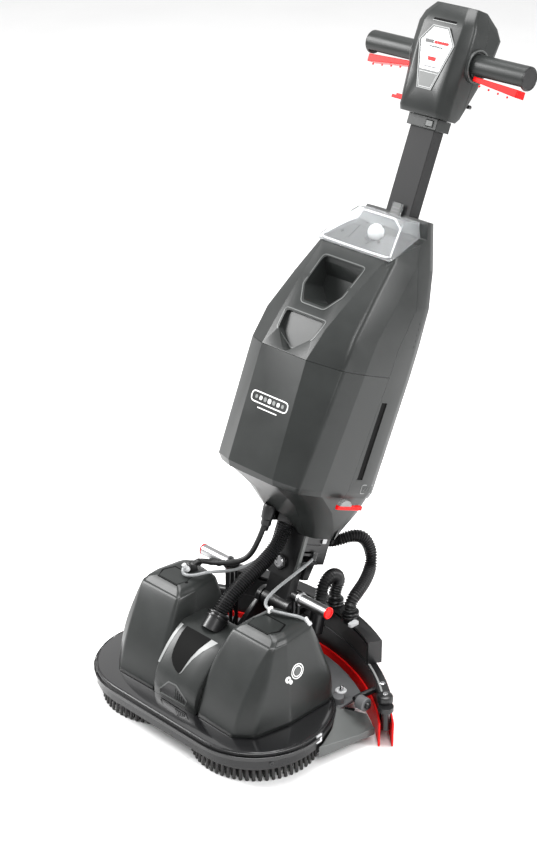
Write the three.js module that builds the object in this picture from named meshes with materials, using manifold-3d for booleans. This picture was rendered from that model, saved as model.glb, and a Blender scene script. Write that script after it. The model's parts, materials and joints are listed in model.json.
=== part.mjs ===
// Upright twin-brush wet and dry floor scrubber, as a scene of separate pieces.
// Millimetres, +Z up. Pieces are laid out from the floor point midway between the two brush axes,
// and the finished machine is then moved back so that its own middle stands over the origin.
// The machine faces -Y, its squeegee trails at +Y, and the column leans back at rest.

import * as THREE from 'three';
import { mergeVertices } from 'three/addons/utils/BufferGeometryUtils.js';
import Module from 'manifold-3d';

const wasm = await Module();
wasm.setup();

// ---------------------------------------------------------------- driving dimensions
const FIT = 0.3;                 // gap left between pieces that touch
const SLIDE = 0.6;               // gap round pieces that slide or turn
const WALL = 3;                  // moulded wall

const BRUSH_RADIUS = 100;        // bristle tips
const BRUSH_SPACING = 204.2;     // between the two brush axes
const BRUSH_HUB = 25;
const BRISTLE_LENGTH = 28;
const BRISTLE_BAND = 34;         // radial width of the bristle ring
const SHAFT_RADIUS = 8;

const SKIRT_GAP = 4;             // brush tip to skirt
const SKIRT_WALL = 5;
const SKIRT_BOTTOM = 30;
const DECK_TOP = 57;
const DECK_PLATE = 5;
const REAR_REACH = 20;           // how much further the deck runs behind the brushes than in front

const MOTOR_RADIUS = 33;
const MOTOR_HEIGHT = 76;

const SQUEEGEE_RADIUS = 366;     // outer radius of the curved squeegee
const SQUEEGEE_CENTRE_Y = -124;
const SQUEEGEE_HALF_ANGLE = 41.5;
const SQUEEGEE_DEPTH = 17;
const SQUEEGEE_TOP = 78;
const BLADE_THICKNESS = 3;
const LIFT_AXIS_Y = 128;
const LIFT_AXIS_Z = 80;

const LEAN = 22.6;               // column lean from vertical, degrees
const TILT_AXIS_Y = 150;
const TILT_AXIS_Z = 140;
const SWIVEL_HEIGHT = 68;        // tilt axis to swivel bolt, along the column
const NECK_WIDTH = 60;
const KNUCKLE_WIDTH = 50;

const BODY_BASE = 205;           // heights along the column, from the tilt axis
const TANK_SEAM = 400;
const LID_EDGE = 568;
const BODY_TOP = 637;
const STEM_WIDTH = 48;
const STEM_DEPTH = 24;
const STEM_FRONT = 16;
const STEM_TRAVEL = 60;
const STEM_WALL = 2;
const STEM_IN_HEAD = 60;         // how far the stem runs up inside the head
const HEAD_BASE = 789;
const HEAD_HEIGHT = 169;
const HEAD_SPLIT_Y = 38;
const GRIP_RADIUS = 18.5;
const GRIP_REACH = 153.6;        // centre line to grip end
const GRIP_Y = 31.3;
const GRIP_Z = HEAD_BASE + 89.8;

const HOSE_RADIUS = 12.5;
const SUCTION_HOSE_RADIUS = 10.5;
const CABLE_RADIUS = 4.5;
const WATER_TUBE_RADIUS = 2.6;

const SKIRT_RADIUS = BRUSH_RADIUS + SKIRT_GAP + SKIRT_WALL;
const BRUSH_X = BRUSH_SPACING / 2;
const PLATE_BOTTOM = DECK_TOP - DECK_PLATE;
const ON_DECK = DECK_TOP + FIT;

// ---------------------------------------------------------------- materials
function finish(color, roughness, metalness = 0) {
  return new THREE.MeshStandardMaterial({ color, roughness, metalness });
}

const GREY_PLASTIC = finish(0x3e413f, 0.45);
const BLACK_PLASTIC = finish(0x151616, 0.35);
const STEM_BLACK = finish(0x2b2b2b, 0.5, 0.3);
const RED_PLASTIC = finish(0xe00000, 0.4);
const RED_RUBBER = finish(0xd01010, 0.6);
const BLACK_RUBBER = finish(0x101010, 0.7);
const STEEL = finish(0xc8c8c8, 0.25, 1);
const PALE_GREY = finish(0x8d8f8e, 0.5);
const BRISTLE = finish(0x2a2a2a, 0.8);
const CLEAR = finish(0xdfe4e6, 0.1);
const WHITE_PLASTIC = finish(0xf2f2f2, 0.4);
const LABEL = finish(0xd8dadb, 0.3);
const TUBE_GREY = finish(0x9aa0a2, 0.3);

// ---------------------------------------------------------------- solid helpers
function toSolid(geometry) {
  const bare = geometry.index ? geometry.toNonIndexed() : geometry.clone();
  bare.deleteAttribute('normal');
  bare.deleteAttribute('uv');
  const merged = mergeVertices(bare, 1e-4);
  return new wasm.Manifold(new wasm.Mesh({
    numProp: 3,
    vertProperties: new Float32Array(merged.attributes.position.array),
    triVerts: new Uint32Array(merged.index.array),
  }));
}

function toGeometry(solid) {
  const mesh = solid.getMesh();
  const geometry = new THREE.BufferGeometry();
  geometry.setAttribute('position', new THREE.BufferAttribute(new Float32Array(mesh.vertProperties), 3));
  geometry.setIndex(new THREE.BufferAttribute(new Uint32Array(mesh.triVerts), 1));
  return geometry;
}

function piece(name, solid, material) {
  const mesh = new THREE.Mesh(toGeometry(solid), material);
  mesh.name = name;
  return mesh;
}

const radians = THREE.MathUtils.degToRad;

// A copy of a solid mirrored across the machine's centre plane.
function mirrored(solid) {
  return solid.mirror([1, 0, 0]);
}

// Points round a polygon whose corners [x, y, radius] are rounded by arcs.
function roundedOutline(corners, steps = 3) {
  const points = [];
  corners.forEach(([x, y, radius], i) => {
    const here = new THREE.Vector2(x, y);
    const before = new THREE.Vector2(...corners[(i + corners.length - 1) % corners.length]);
    const after = new THREE.Vector2(...corners[(i + 1) % corners.length]);
    const toBefore = before.sub(here).normalize();
    const toAfter = after.sub(here).normalize();
    const half = Math.acos(THREE.MathUtils.clamp(toBefore.dot(toAfter), -1, 1)) / 2;
    const reach = radius / Math.tan(half);
    const start = here.clone().addScaledVector(toBefore, reach);
    const end = here.clone().addScaledVector(toAfter, reach);
    const curve = new THREE.QuadraticBezierCurve(start, here, end);
    points.push(...(radius > 0 ? curve.getPoints(steps) : [here]));
  });
  return points;
}

// A rounded outline given by its right half, front to back, and mirrored to the left.
function symmetricCorners(rightHalf) {
  const left = rightHalf.map(([x, y, r]) => [-x, y, r]).reverse();
  return [...rightHalf, ...left];
}

// A closed skin through rings of equal point count, capped at both ends.
function loft(rings) {
  const count = rings[0].length;
  const positions = rings.flat().flatMap((p) => [p.x, p.y, p.z]);
  const index = [];
  for (let r = 0; r + 1 < rings.length; r += 1) {
    for (let i = 0; i < count; i += 1) {
      const a = r * count + i;
      const b = r * count + (i + 1) % count;
      index.push(a, b, b + count, a, b + count, a + count);
    }
  }
  [[rings[0], 0, true], [rings.at(-1), (rings.length - 1) * count, false]].forEach(([ring, base, flip]) => {
    const centre = ring.reduce((sum, p) => sum.add(p), new THREE.Vector3()).divideScalar(count);
    const hub = positions.length / 3;
    positions.push(centre.x, centre.y, centre.z);
    for (let i = 0; i < count; i += 1) {
      const a = base + i;
      const b = base + (i + 1) % count;
      index.push(...(flip ? [hub, b, a] : [hub, a, b]));
    }
  });
  const geometry = new THREE.BufferGeometry();
  geometry.setAttribute('position', new THREE.Float32BufferAttribute(positions, 3));
  geometry.setIndex(index);
  return toSolid(geometry);
}

// Rings stacked in Z: each level is [height, corners].
function stack(levels, steps = 3) {
  return loft(levels.map(([z, corners]) => (
    roundedOutline(corners, steps).map((p) => new THREE.Vector3(p.x, p.y, z))
  )));
}

function shapeOf(points) {
  return new THREE.Shape(points.map((p) => (Array.isArray(p) ? new THREE.Vector2(...p) : p)));
}

// An outline in X-Y pushed up from z = low to z = high.
function prismZ(points, low, high) {
  const geometry = new THREE.ExtrudeGeometry(shapeOf(points), { depth: high - low, bevelEnabled: false });
  geometry.translate(0, 0, low);
  return toSolid(geometry);
}

// An outline in Y-Z pushed along X from x = low to x = high.
function prismX(points, low, high) {
  const geometry = new THREE.ExtrudeGeometry(shapeOf(points), { depth: high - low, bevelEnabled: false });
  const basis = new THREE.Matrix4().makeBasis(
    new THREE.Vector3(0, 1, 0), new THREE.Vector3(0, 0, 1), new THREE.Vector3(1, 0, 0));
  geometry.applyMatrix4(basis);
  geometry.translate(low, 0, 0);
  return toSolid(geometry);
}

// An outline in X-Z pushed along Y from y = low to y = high.
function prismY(points, low, high) {
  const geometry = new THREE.ExtrudeGeometry(shapeOf(points), { depth: high - low, bevelEnabled: false });
  const basis = new THREE.Matrix4().makeBasis(
    new THREE.Vector3(1, 0, 0), new THREE.Vector3(0, 0, 1), new THREE.Vector3(0, -1, 0));
  geometry.applyMatrix4(basis);
  geometry.translate(0, high, 0);
  return toSolid(geometry);
}

function box(x0, x1, y0, y1, z0, z1) {
  const geometry = new THREE.BoxGeometry(x1 - x0, y1 - y0, z1 - z0);
  geometry.translate((x0 + x1) / 2, (y0 + y1) / 2, (z0 + z1) / 2);
  return toSolid(geometry);
}

// A turned solid about the Z axis from an [radius, z] profile that starts and ends on the axis.
function turned(profile, segments = 32) {
  return toSolid(new THREE.LatheGeometry(profile.map(([r, z]) => new THREE.Vector2(r, z)), segments)
    .rotateX(Math.PI / 2));
}

// A round bar between two points.
function bar(from, to, radius, segments = 16) {
  const start = new THREE.Vector3(...from);
  const end = new THREE.Vector3(...to);
  const geometry = new THREE.CylinderGeometry(radius, radius, start.distanceTo(end), segments);
  const direction = end.clone().sub(start).normalize();
  const up = new THREE.Vector3(0, 1, 0);
  geometry.applyQuaternion(new THREE.Quaternion().setFromUnitVectors(up, direction));
  const middle = start.add(end).multiplyScalar(0.5);
  geometry.translate(middle.x, middle.y, middle.z);
  return toSolid(geometry);
}

// A soft tube of round section along a smooth route.
function tube(route, radius, sides, steps) {
  const curve = new THREE.CatmullRomCurve3(route.map((p) => new THREE.Vector3(...p)));
  const section = [];
  for (let i = 0; i < sides; i += 1) {
    const angle = (2 * Math.PI * i) / sides;
    section.push(new THREE.Vector2(radius * Math.cos(angle), radius * Math.sin(angle)));
  }
  const options = { steps, bevelEnabled: false, extrudePath: curve };
  return toSolid(new THREE.ExtrudeGeometry(new THREE.Shape(section), options));
}

// ---------------------------------------------------------------- deck
// The deck's outline: round both brush axes in front, and running further back behind them.
function deckOutline(radius, steps = 12) {
  const points = [];
  [[BRUSH_X, -90], [-BRUSH_X, 90]].forEach(([x, start]) => {
    for (let i = 0; i <= steps; i += 1) {
      const angle = radians(start + (180 * i) / steps);
      const rise = Math.sin(angle);
      const reach = rise > 0 ? radius + REAR_REACH : radius;
      points.push(new THREE.Vector2(x + radius * Math.cos(angle), rise * reach));
    }
  });
  return points;
}

function deckStack(levels) {
  return loft(levels.map(([z, radius]) => deckOutline(radius).map((p) => new THREE.Vector3(p.x, p.y, z))));
}

const SHAFT_CLEARANCE = 3;

function deckBase() {
  const outer = deckStack([
    [SKIRT_BOTTOM, SKIRT_RADIUS],
    [DECK_TOP - 5, SKIRT_RADIUS],
    [DECK_TOP - 1.5, SKIRT_RADIUS - 1.5],
    [DECK_TOP, SKIRT_RADIUS - 4],
  ]);
  const chamber = deckStack([
    [SKIRT_BOTTOM - 1, SKIRT_RADIUS - SKIRT_WALL],
    [PLATE_BOTTOM, SKIRT_RADIUS - SKIRT_WALL],
  ]);
  const shaftHole = bar([BRUSH_X, 0, SKIRT_BOTTOM], [BRUSH_X, 0, DECK_TOP + 9],
    SHAFT_RADIUS + SHAFT_CLEARANCE);
  return outer.subtract(chamber).subtract(shaftHole).subtract(mirrored(shaftHole));
}

const BEAD_PROUD = 2.5;
const BEAD_BOTTOM = 44;
const BEAD_TOP = 50;

function skirtBead() {
  const radius = SKIRT_RADIUS + BEAD_PROUD;
  const outside = deckStack([[BEAD_BOTTOM, radius], [BEAD_TOP, radius]]);
  const inside = deckStack([[BEAD_BOTTOM - 1, SKIRT_RADIUS + FIT], [BEAD_TOP + 1, SKIRT_RADIUS + FIT]]);
  return outside.subtract(inside);
}

// One motor cowl, right-hand side. Each level is the height over the deck and seven corners of
// [x, y, radius]: inner front, two at the outer front, outer side, outer rear, inner rear, inner side.
const COWL_LEVELS = [
  [0, [44, -71, 10], [128, -73, 12], [152, -52, 18], [165, 12, 30],
    [163, 127, 30], [46, 94, 16], [39, 20, 20]],
  [35, [44, -60, 10], [129, -62, 12], [153, -44, 18], [164, 12, 30],
    [161, 125, 30], [47, 93, 16], [40, 20, 20]],
  [68, [46, -46, 10], [131, -47, 12], [153, -34, 18], [161, 14, 30],
    [156, 115, 30], [52, 90, 16], [43, 20, 20]],
  [103, [52, -26, 9], [134, -27, 11], [149, -19, 16], [154, 16, 28],
    [149, 103, 28], [57, 86, 14], [50, 24, 18]],
  [127, [58.5, -9, 6], [139, -10, 7], [145, -5, 8], [148, 20, 22],
    [142, 93, 24], [63, 82, 12], [57.5, 28, 14]],
  [131, [62, -4, 6], [138, -4, 6], [143, 0, 7], [146, 22, 20],
    [139, 90, 22], [65, 80, 12], [60, 28, 14]],
  [137, [68, 3, 6], [134, 3, 6], [139, 7, 7], [141, 26, 18],
    [133, 82, 20], [69, 74, 12], [66, 30, 12]],
  [141, [76, 9, 5], [124, 9, 5], [128, 16, 6], [131, 30, 14],
    [123, 66, 14], [81, 62, 10], [75, 30, 10]],
];

function cowlSolid(grow, base) {
  const middle = [102, 30];
  return stack(COWL_LEVELS.map(([rise, ...corners], i) => {
    const lift = i === 0 ? 0 : grow;
    const grown = corners.map(([x, y, r]) => [
      x + grow * Math.sign(x - middle[0]) * (Math.abs(x - middle[0]) > 5 ? 1 : 0),
      y + grow * Math.sign(y - middle[1]) * (Math.abs(y - middle[1]) > 30 ? 1 : 0),
      r,
    ]);
    return [base + rise + lift, grown];
  }));
}

function cowl() {
  return cowlSolid(0, ON_DECK).subtract(cowlSolid(-WALL, ON_DECK - 0.5));
}

const CENTRE_HALF = 62;

// Side profiles of the low cowl between the two motor cowls: outside, and the hollow under it.
const CENTRE_TOP = 156;
const CENTRE_OUTSIDE = [
  [-73.5, ON_DECK],
  [-73.5, 82],
  [-62, 105],
  [-42, 130],
  [-22, CENTRE_TOP - 8],
  [-6, CENTRE_TOP],
  [34, CENTRE_TOP],
  [48, CENTRE_TOP - 10],
  [52, ON_DECK],
];
const CENTRE_INSIDE = [
  [-70, 50],
  [-70, 81],
  [-59, 103],
  [-39.5, 128],
  [-20.5, CENTRE_TOP - 11.5],
  [-5.5, CENTRE_TOP - WALL],
  [33, CENTRE_TOP - WALL],
  [45, CENTRE_TOP - 12],
  [49, 50],
];

function centreCowl() {
  const right = cowlSolid(1, ON_DECK - 1);
  const frontCorner = prismZ([[46, -90], [80, -90], [80, -30], [58, -30], [46, -68]], 50, 170);
  return prismX(CENTRE_OUTSIDE, -CENTRE_HALF, CENTRE_HALF)
    .subtract(prismX(CENTRE_INSIDE, -CENTRE_HALF - 1, CENTRE_HALF + 1))
    .subtract(right)
    .subtract(mirrored(right))
    .subtract(frontCorner)
    .subtract(mirrored(frontCorner));
}

function motor() {
  const bottom = ON_DECK;
  return turned([
    [0, bottom],
    [MOTOR_RADIUS + 8, bottom],
    [MOTOR_RADIUS + 8, bottom + 16],
    [MOTOR_RADIUS, bottom + 18],
    [MOTOR_RADIUS, bottom + MOTOR_HEIGHT],
    [0, bottom + MOTOR_HEIGHT],
  ], 24).translate([BRUSH_X, 0, 0]);
}

// The hose socket stands on the centre cowl and leans back towards the neck.
const SOCKET_Y = 6;
const SOCKET_Z = 152;
const SOCKET_LEAN = 42;
const SOCKET_FLOOR = 18;

function hoseSocket() {
  const bore = HOSE_RADIUS + FIT;
  const ring = turned([
    [0, 0],
    [HOSE_RADIUS + 5, 0],
    [HOSE_RADIUS + 4, 22],
    [HOSE_RADIUS + 2.5, 30],
    [0, 30],
  ], 24).subtract(turned([[0, SOCKET_FLOOR], [bore, SOCKET_FLOOR], [bore, 31], [0, 31]], 24));
  const placed = ring.rotate([-SOCKET_LEAN, 0, 0]).translate([0, SOCKET_Y, SOCKET_Z]);
  return placed.subtract(box(-CENTRE_HALF, CENTRE_HALF, -30, 60, 100, CENTRE_TOP + FIT));
}

// ---------------------------------------------------------------- brushes
function brushDisc() {
  const rim = BRUSH_RADIUS - 8;
  return turned([
    [0, BRISTLE_LENGTH + FIT],
    [rim, BRISTLE_LENGTH + FIT],
    [rim, BRISTLE_LENGTH + 10],
    [BRUSH_HUB + 8, BRISTLE_LENGTH + 12],
    [BRUSH_HUB, PLATE_BOTTOM - 4],
    [SHAFT_RADIUS, PLATE_BOTTOM - 3],
    [SHAFT_RADIUS, DECK_TOP - FIT],
    [0, DECK_TOP - FIT],
  ], 40).translate([BRUSH_X, 0, 0]);
}

function bristleRing() {
  const top = BRUSH_RADIUS - 12;
  const outer = turned([[0, 0], [BRUSH_RADIUS, 0], [top, BRISTLE_LENGTH], [0, BRISTLE_LENGTH]], 40);
  const inner = turned([
    [0, -1],
    [BRUSH_RADIUS - BRISTLE_BAND, -1],
    [top - BRISTLE_BAND, BRISTLE_LENGTH + 1],
    [0, BRISTLE_LENGTH + 1],
  ], 40);
  return outer.subtract(inner).translate([BRUSH_X, 0, 0]);
}

// ---------------------------------------------------------------- rear of the deck
// A sector of the squeegee's arc between two radii, pushed up in Z.
function arcBand(inner, outer, halfAngle, low, high, steps = 16) {
  const points = [];
  [[outer, 1], [inner, -1]].forEach(([radius, sense]) => {
    for (let i = 0; i <= steps; i += 1) {
      const angle = radians(sense * halfAngle * (2 * i / steps - 1));
      const along = SQUEEGEE_CENTRE_Y + radius * Math.cos(angle);
      points.push(new THREE.Vector2(radius * Math.sin(angle), along));
    }
  });
  return prismZ(points.reverse(), low, high);
}

const SHROUD_GAP = 10;           // shroud edge to squeegee
const SHROUD_BOTTOM = 34;
const SHROUD_TOP = 39;
const SHROUD_HALF = BRUSH_X + 67.9;
const SHROUD_BOSS_X = BRUSH_X + 55.9;

function rearShroud() {
  const reach = SQUEEGEE_RADIUS - SQUEEGEE_DEPTH - BLADE_THICKNESS - SHROUD_GAP;
  const plate = arcBand(100, reach, 40, SHROUD_BOTTOM, SHROUD_TOP);
  const keep = box(-SHROUD_HALF, SHROUD_HALF, 60, 260, SHROUD_BOTTOM - 1, SHROUD_TOP + 30);
  const deck = deckStack([[SHROUD_BOTTOM - 1, SKIRT_RADIUS + FIT], [SHROUD_TOP + 30, SKIRT_RADIUS + FIT]]);
  const boss = bar([SHROUD_BOSS_X, 124, SHROUD_TOP - 1], [SHROUD_BOSS_X, 124, SHROUD_TOP + 12], 9);
  return plate.add(boss).add(mirrored(boss)).intersect(keep).subtract(deck);
}

// Side flap, right-hand side: a wedge that keeps spray in, behind the brush.
function sideFlap() {
  const outline = [[105.9, 14], [111.9, 34], [128.9, 128], [103.9, 136], [69.9, 96], [73.9, 60]];
  const profile = [[147.9, 26], [147.9, 80], [65.9, 80], [65.9, 52], [85.9, 46], [121.9, 26]];
  const fromBrush = ([x, other]) => [BRUSH_X + x, other];
  const block = prismZ(outline.map(fromBrush), 14, 54);
  const slope = prismY(profile.map(fromBrush), 0, 140);
  const deck = deckStack([[10, SKIRT_RADIUS + BEAD_PROUD + FIT], [80, SKIRT_RADIUS + BEAD_PROUD + FIT]]);
  return block.subtract(slope).subtract(deck);
}

const CHEEK_INSIDE = KNUCKLE_WIDTH / 2 + SLIDE;
const CHEEK_WALL = 8;
const PIN_RADIUS = 6;
const ARM_INSIDE = 14;
const ARM_WIDTH = 9;
const LIFT_PIN_RADIUS = 4;

// Cheek plate outline in Y-Z, rounded about the tilt axis.
function cheekOutline() {
  const points = [[64, BRACKET_FLOOR - 1], [164, BRACKET_FLOOR - 1]];
  for (let i = 0; i <= 8; i += 1) {
    const angle = radians(-20 + 25 * i);
    points.push([TILT_AXIS_Y + 17 * Math.cos(angle), TILT_AXIS_Z + 17 * Math.sin(angle)]);
  }
  points.push([96, 112]);
  return points;
}

const BRACKET_FLOOR = ON_DECK + 6;

function pivotBracket() {
  const half = CHEEK_INSIDE + CHEEK_WALL;
  const base = box(-half, half, 56, 128, ON_DECK, BRACKET_FLOOR);
  const right = prismX(cheekOutline(), CHEEK_INSIDE, half);
  const pinHole = bar([-60, TILT_AXIS_Y, TILT_AXIS_Z], [60, TILT_AXIS_Y, TILT_AXIS_Z], PIN_RADIUS + FIT);
  const liftHole = bar([-60, LIFT_AXIS_Y, LIFT_AXIS_Z], [60, LIFT_AXIS_Y, LIFT_AXIS_Z],
    LIFT_PIN_RADIUS + FIT);
  return base.add(right).add(mirrored(right)).subtract(pinHole).subtract(liftHole);
}

function tiltPin() {
  const half = CHEEK_INSIDE + CHEEK_WALL + 4;
  return bar([-half, TILT_AXIS_Y, TILT_AXIS_Z], [half, TILT_AXIS_Y, TILT_AXIS_Z], PIN_RADIUS);
}

// Foot pegs: a plated tube on a lattice post behind each cowl.
const PEG_RADIUS = 9;
const PEG_Y = 121;
const PEG_Z = 192;
const PEG_INNER = 76;
const PEG_LENGTH = 60;
const POST_X = 68;

function pegPost() {
  const foot = box(CHEEK_INSIDE + CHEEK_WALL + FIT, POST_X + 5, 108, 128, ON_DECK, BRACKET_FLOOR);
  const front = bar([POST_X, 111, BRACKET_FLOOR - 1], [POST_X, 117, PEG_Z], 3, 8);
  const back = bar([POST_X, 125, BRACKET_FLOOR - 1], [POST_X, 126, PEG_Z], 3, 8);
  const braces = [[111, 70, 125, 100], [125, 100, 113, 132], [114, 132, 126, 164]].map(([y0, z0, y1, z1]) => (
    bar([POST_X, y0, z0], [POST_X, y1, z1], 2.2, 8)
  ));
  const boss = bar([POST_X - 4, PEG_Y, PEG_Z], [PEG_INNER - FIT, PEG_Y, PEG_Z], PEG_RADIUS - 1);
  return braces.reduce((sum, brace) => sum.add(brace), foot.add(front).add(back).add(boss))
    .subtract(cowlSolid(FIT, ON_DECK - 1));
}

function peg() {
  return bar([PEG_INNER, PEG_Y, PEG_Z], [PEG_INNER + PEG_LENGTH, PEG_Y, PEG_Z], PEG_RADIUS, 20);
}

// Hose elbow behind the bracket: the suction hose from the column meets the squeegee's short hose.
const ELBOW_X = 56;
const ELBOW_Y = 176;

function hoseElbow() {
  const start = CHEEK_INSIDE + CHEEK_WALL + FIT;
  const arm = box(start, ELBOW_X + 6, 150, ELBOW_Y + 4, 100, 110);
  const plate = box(start, start + 5, 120, 162, 100, 122);
  const body = bar([ELBOW_X, ELBOW_Y, 98], [ELBOW_X - 1, ELBOW_Y + 14, 144], SUCTION_HOSE_RADIUS + 2.5);
  return arm.add(plate).add(body);
}

// ---------------------------------------------------------------- squeegee
const BAND_INNER = SQUEEGEE_RADIUS - SQUEEGEE_DEPTH;

function onArc(radius, degrees, z) {
  const angle = radians(degrees);
  return [radius * Math.sin(angle), SQUEEGEE_CENTRE_Y + radius * Math.cos(angle), z];
}

const POST_ANGLE = SQUEEGEE_HALF_ANGLE + 1.5;

function squeegeeBody() {
  const band = arcBand(BAND_INNER, SQUEEGEE_RADIUS, SQUEEGEE_HALF_ANGLE, 30, SQUEEGEE_TOP, 24);
  const endPost = bar(onArc(BAND_INNER + 8, POST_ANGLE, 26), onArc(BAND_INNER + 8, POST_ANGLE, 62), 6.5);
  const endTop = bar(onArc(BAND_INNER + 8, POST_ANGLE, 60), onArc(BAND_INNER + 8, POST_ANGLE, 68), 12);
  const wheelArm = bar(onArc(BAND_INNER + 4, 34, 62), [193, 138, 62], 5, 8);
  const axle = bar([192, 124, 62], [222, 124, 62], 3.5, 8);
  const link = bar([193, 138, 62], [193, 122, 62], 5, 8);
  const side = endPost.add(endTop).add(wheelArm).add(link).add(axle);
  return band.add(side).add(mirrored(side));
}

function roller() {
  const wheel = bar([200, 124, 62], [216, 124, 62], 11, 20);
  const bore = bar([190, 124, 62], [226, 124, 62], 3.5 + SLIDE, 12);
  return wheel.subtract(bore);
}

function blade(radius, top) {
  return arcBand(radius, radius + BLADE_THICKNESS, SQUEEGEE_HALF_ANGLE + 3, 0, top, 24);
}

function squeegeeArm() {
  const profile = [
    [LIFT_AXIS_Y - 9, LIFT_AXIS_Z - 6],
    [LIFT_AXIS_Y + 8, LIFT_AXIS_Z - 8],
    [SQUEEGEE_CENTRE_Y + BAND_INNER, SQUEEGEE_TOP + FIT + 2],
    [SQUEEGEE_CENTRE_Y + SQUEEGEE_RADIUS - 4, SQUEEGEE_TOP + FIT],
    [SQUEEGEE_CENTRE_Y + SQUEEGEE_RADIUS - 4, SQUEEGEE_TOP + 10],
    [SQUEEGEE_CENTRE_Y + BAND_INNER - 10, SQUEEGEE_TOP + 14],
    [LIFT_AXIS_Y + 6, LIFT_AXIS_Z + 8],
    [LIFT_AXIS_Y - 6, LIFT_AXIS_Z + 8],
  ];
  const right = prismX(profile, ARM_INSIDE, ARM_INSIDE + ARM_WIDTH);
  const tie = box(-ARM_INSIDE - 1, ARM_INSIDE + 1, 196, 206, SQUEEGEE_TOP + 4, SQUEEGEE_TOP + 12);
  const pinHalf = CHEEK_INSIDE + CHEEK_WALL - 1;
  const pin = bar([-pinHalf, LIFT_AXIS_Y, LIFT_AXIS_Z], [pinHalf, LIFT_AXIS_Y, LIFT_AXIS_Z],
    LIFT_PIN_RADIUS, 12);
  return right.add(mirrored(right)).add(tie).add(pin);
}

const SHELL_HEIGHT = 40;
const SHORT_PORT_X = 44;
const SHORT_PORT_Y = 236;
const LONG_PORT_X = 87;
const LONG_PORT_Y = 225;
const PORT_TOP = 130;

// Curved cover over the squeegee's suction ports.
function suctionShell() {
  const low = SQUEEGEE_TOP + FIT;
  const roof = low + SHELL_HEIGHT;
  const cover = arcBand(BAND_INNER + 2, SQUEEGEE_RADIUS + 8, 27, low, roof);
  const inside = arcBand(BAND_INNER - 4, SQUEEGEE_RADIUS + 4, 26, low - 1, roof - 4);
  const arms = box(-ARM_INSIDE - ARM_WIDTH - FIT, ARM_INSIDE + ARM_WIDTH + FIT, 190, 239, low - 1, low + 15);
  const radius = SUCTION_HOSE_RADIUS + 2.5;
  const ports = bar([SHORT_PORT_X, SHORT_PORT_Y, roof - 8], [SHORT_PORT_X, SHORT_PORT_Y, PORT_TOP], radius)
    .add(bar([LONG_PORT_X, LONG_PORT_Y, roof - 8], [LONG_PORT_X, LONG_PORT_Y, PORT_TOP], radius));
  return cover.subtract(inside).add(ports).subtract(arms);
}

// ---------------------------------------------------------------- neck
function knuckle() {
  const half = KNUCKLE_WIDTH / 2;
  const barrel = bar([-half, 0, 0], [half, 0, 0], 15);
  const web = box(-half + 2, half - 2, -10, 10, 0, SWIVEL_HEIGHT);
  const eye = bar([0, -10, SWIVEL_HEIGHT], [0, 10, SWIVEL_HEIGHT], half - 2);
  const pinHole = bar([-60, 0, 0], [60, 0, 0], PIN_RADIUS + FIT);
  const boltHole = bar([0, -30, SWIVEL_HEIGHT], [0, 30, SWIVEL_HEIGHT], 6 + FIT);
  return barrel.add(web).add(eye).subtract(pinHole).subtract(boltHole);
}

const LUG_GAP = 10 + SLIDE;

function neck() {
  const half = NECK_WIDTH / 2;
  const top = BODY_BASE - 4;
  const outline = [[-half + 4, SWIVEL_HEIGHT - 22], [half - 4, SWIVEL_HEIGHT - 22], [half, SWIVEL_HEIGHT + 6],
    [half, top], [-half, top], [-half, SWIVEL_HEIGHT + 6]];
  const block = prismY(outline, -20, 48);
  const slot = box(-half - 1, half + 1, -LUG_GAP, LUG_GAP, SWIVEL_HEIGHT - 30, SWIVEL_HEIGHT + 28);
  const backCut = box(-half - 1, half + 1, 26, 60, SWIVEL_HEIGHT - 30, SWIVEL_HEIGHT + 6);
  const boltHole = bar([0, -30, SWIVEL_HEIGHT], [0, 60, SWIVEL_HEIGHT], 6 + FIT);
  return block.subtract(slot).subtract(backCut).subtract(boltHole);
}

function swivelBolt() {
  return bar([0, -22, SWIVEL_HEIGHT], [0, 29, SWIVEL_HEIGHT], 6)
    .add(bar([0, -25, SWIVEL_HEIGHT], [0, -20 - FIT, SWIVEL_HEIGHT], 10));
}

// ---------------------------------------------------------------- column body
// Outline of the whole body at one height: front panel, bevels, sides and rounded back.
function bodyCorners(front, panel, bevelX, bevelY, side, rearX, rearY, grow) {
  return symmetricCorners([
    [panel, front - grow, 4],
    [bevelX + grow, bevelY - grow, 12],
    [side + grow, bevelY + 44, 12],
    [rearX + grow, rearY + grow, 25],
  ]);
}

const BODY_LEVELS = [
  [BODY_BASE, -147, 46, 82, -130, 91, 87, 48],
  [BODY_BASE + 10, -153, 47, 87, -136, 95, 90, 50],
  [TANK_SEAM, -153, 46, 95, -124, 102, 96, 50],
  [TANK_SEAM + 50, -132, 48, 92, -114, 99, 97, 50],
  [TANK_SEAM + 112, -98, 56, 84, -84, 92, 96, 50],
  [LID_EDGE, -62, 64, 76, -54, 84, 82, 49],
  [LID_EDGE + 32, -52, 56, 66, -44, 74, 72, 47],
  [BODY_TOP, -44, 46, 54, -36, 62, 60, 45],
];

function bodySolid(grow = 0) {
  return stack(BODY_LEVELS.map(([z, ...sizes]) => [z, bodyCorners(...sizes, grow)]));
}

// The side seam between tanks and rear shell, as [y, z] from bottom to top.
const SIDE_SEAM = [[-28, BODY_BASE - 5], [-18, 380], [-15, 440], [6, 512], [-4, 570], [-6, BODY_TOP + 5]];

function behindSeam(offset) {
  const line = SIDE_SEAM.map(([y, z]) => [y + offset, z]);
  return prismX([...line, [90, BODY_TOP + 5], [90, BODY_BASE - 5]].reverse(), -120, 120);
}

function beforeSeam(low, high, offset) {
  const line = SIDE_SEAM.map(([y, z]) => [y + offset, z]);
  return prismX([...line, [-170, BODY_TOP + 5], [-170, BODY_BASE - 5]], -120, 120)
    .intersect(box(-120, 120, -170, 90, low, high));
}

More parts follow.
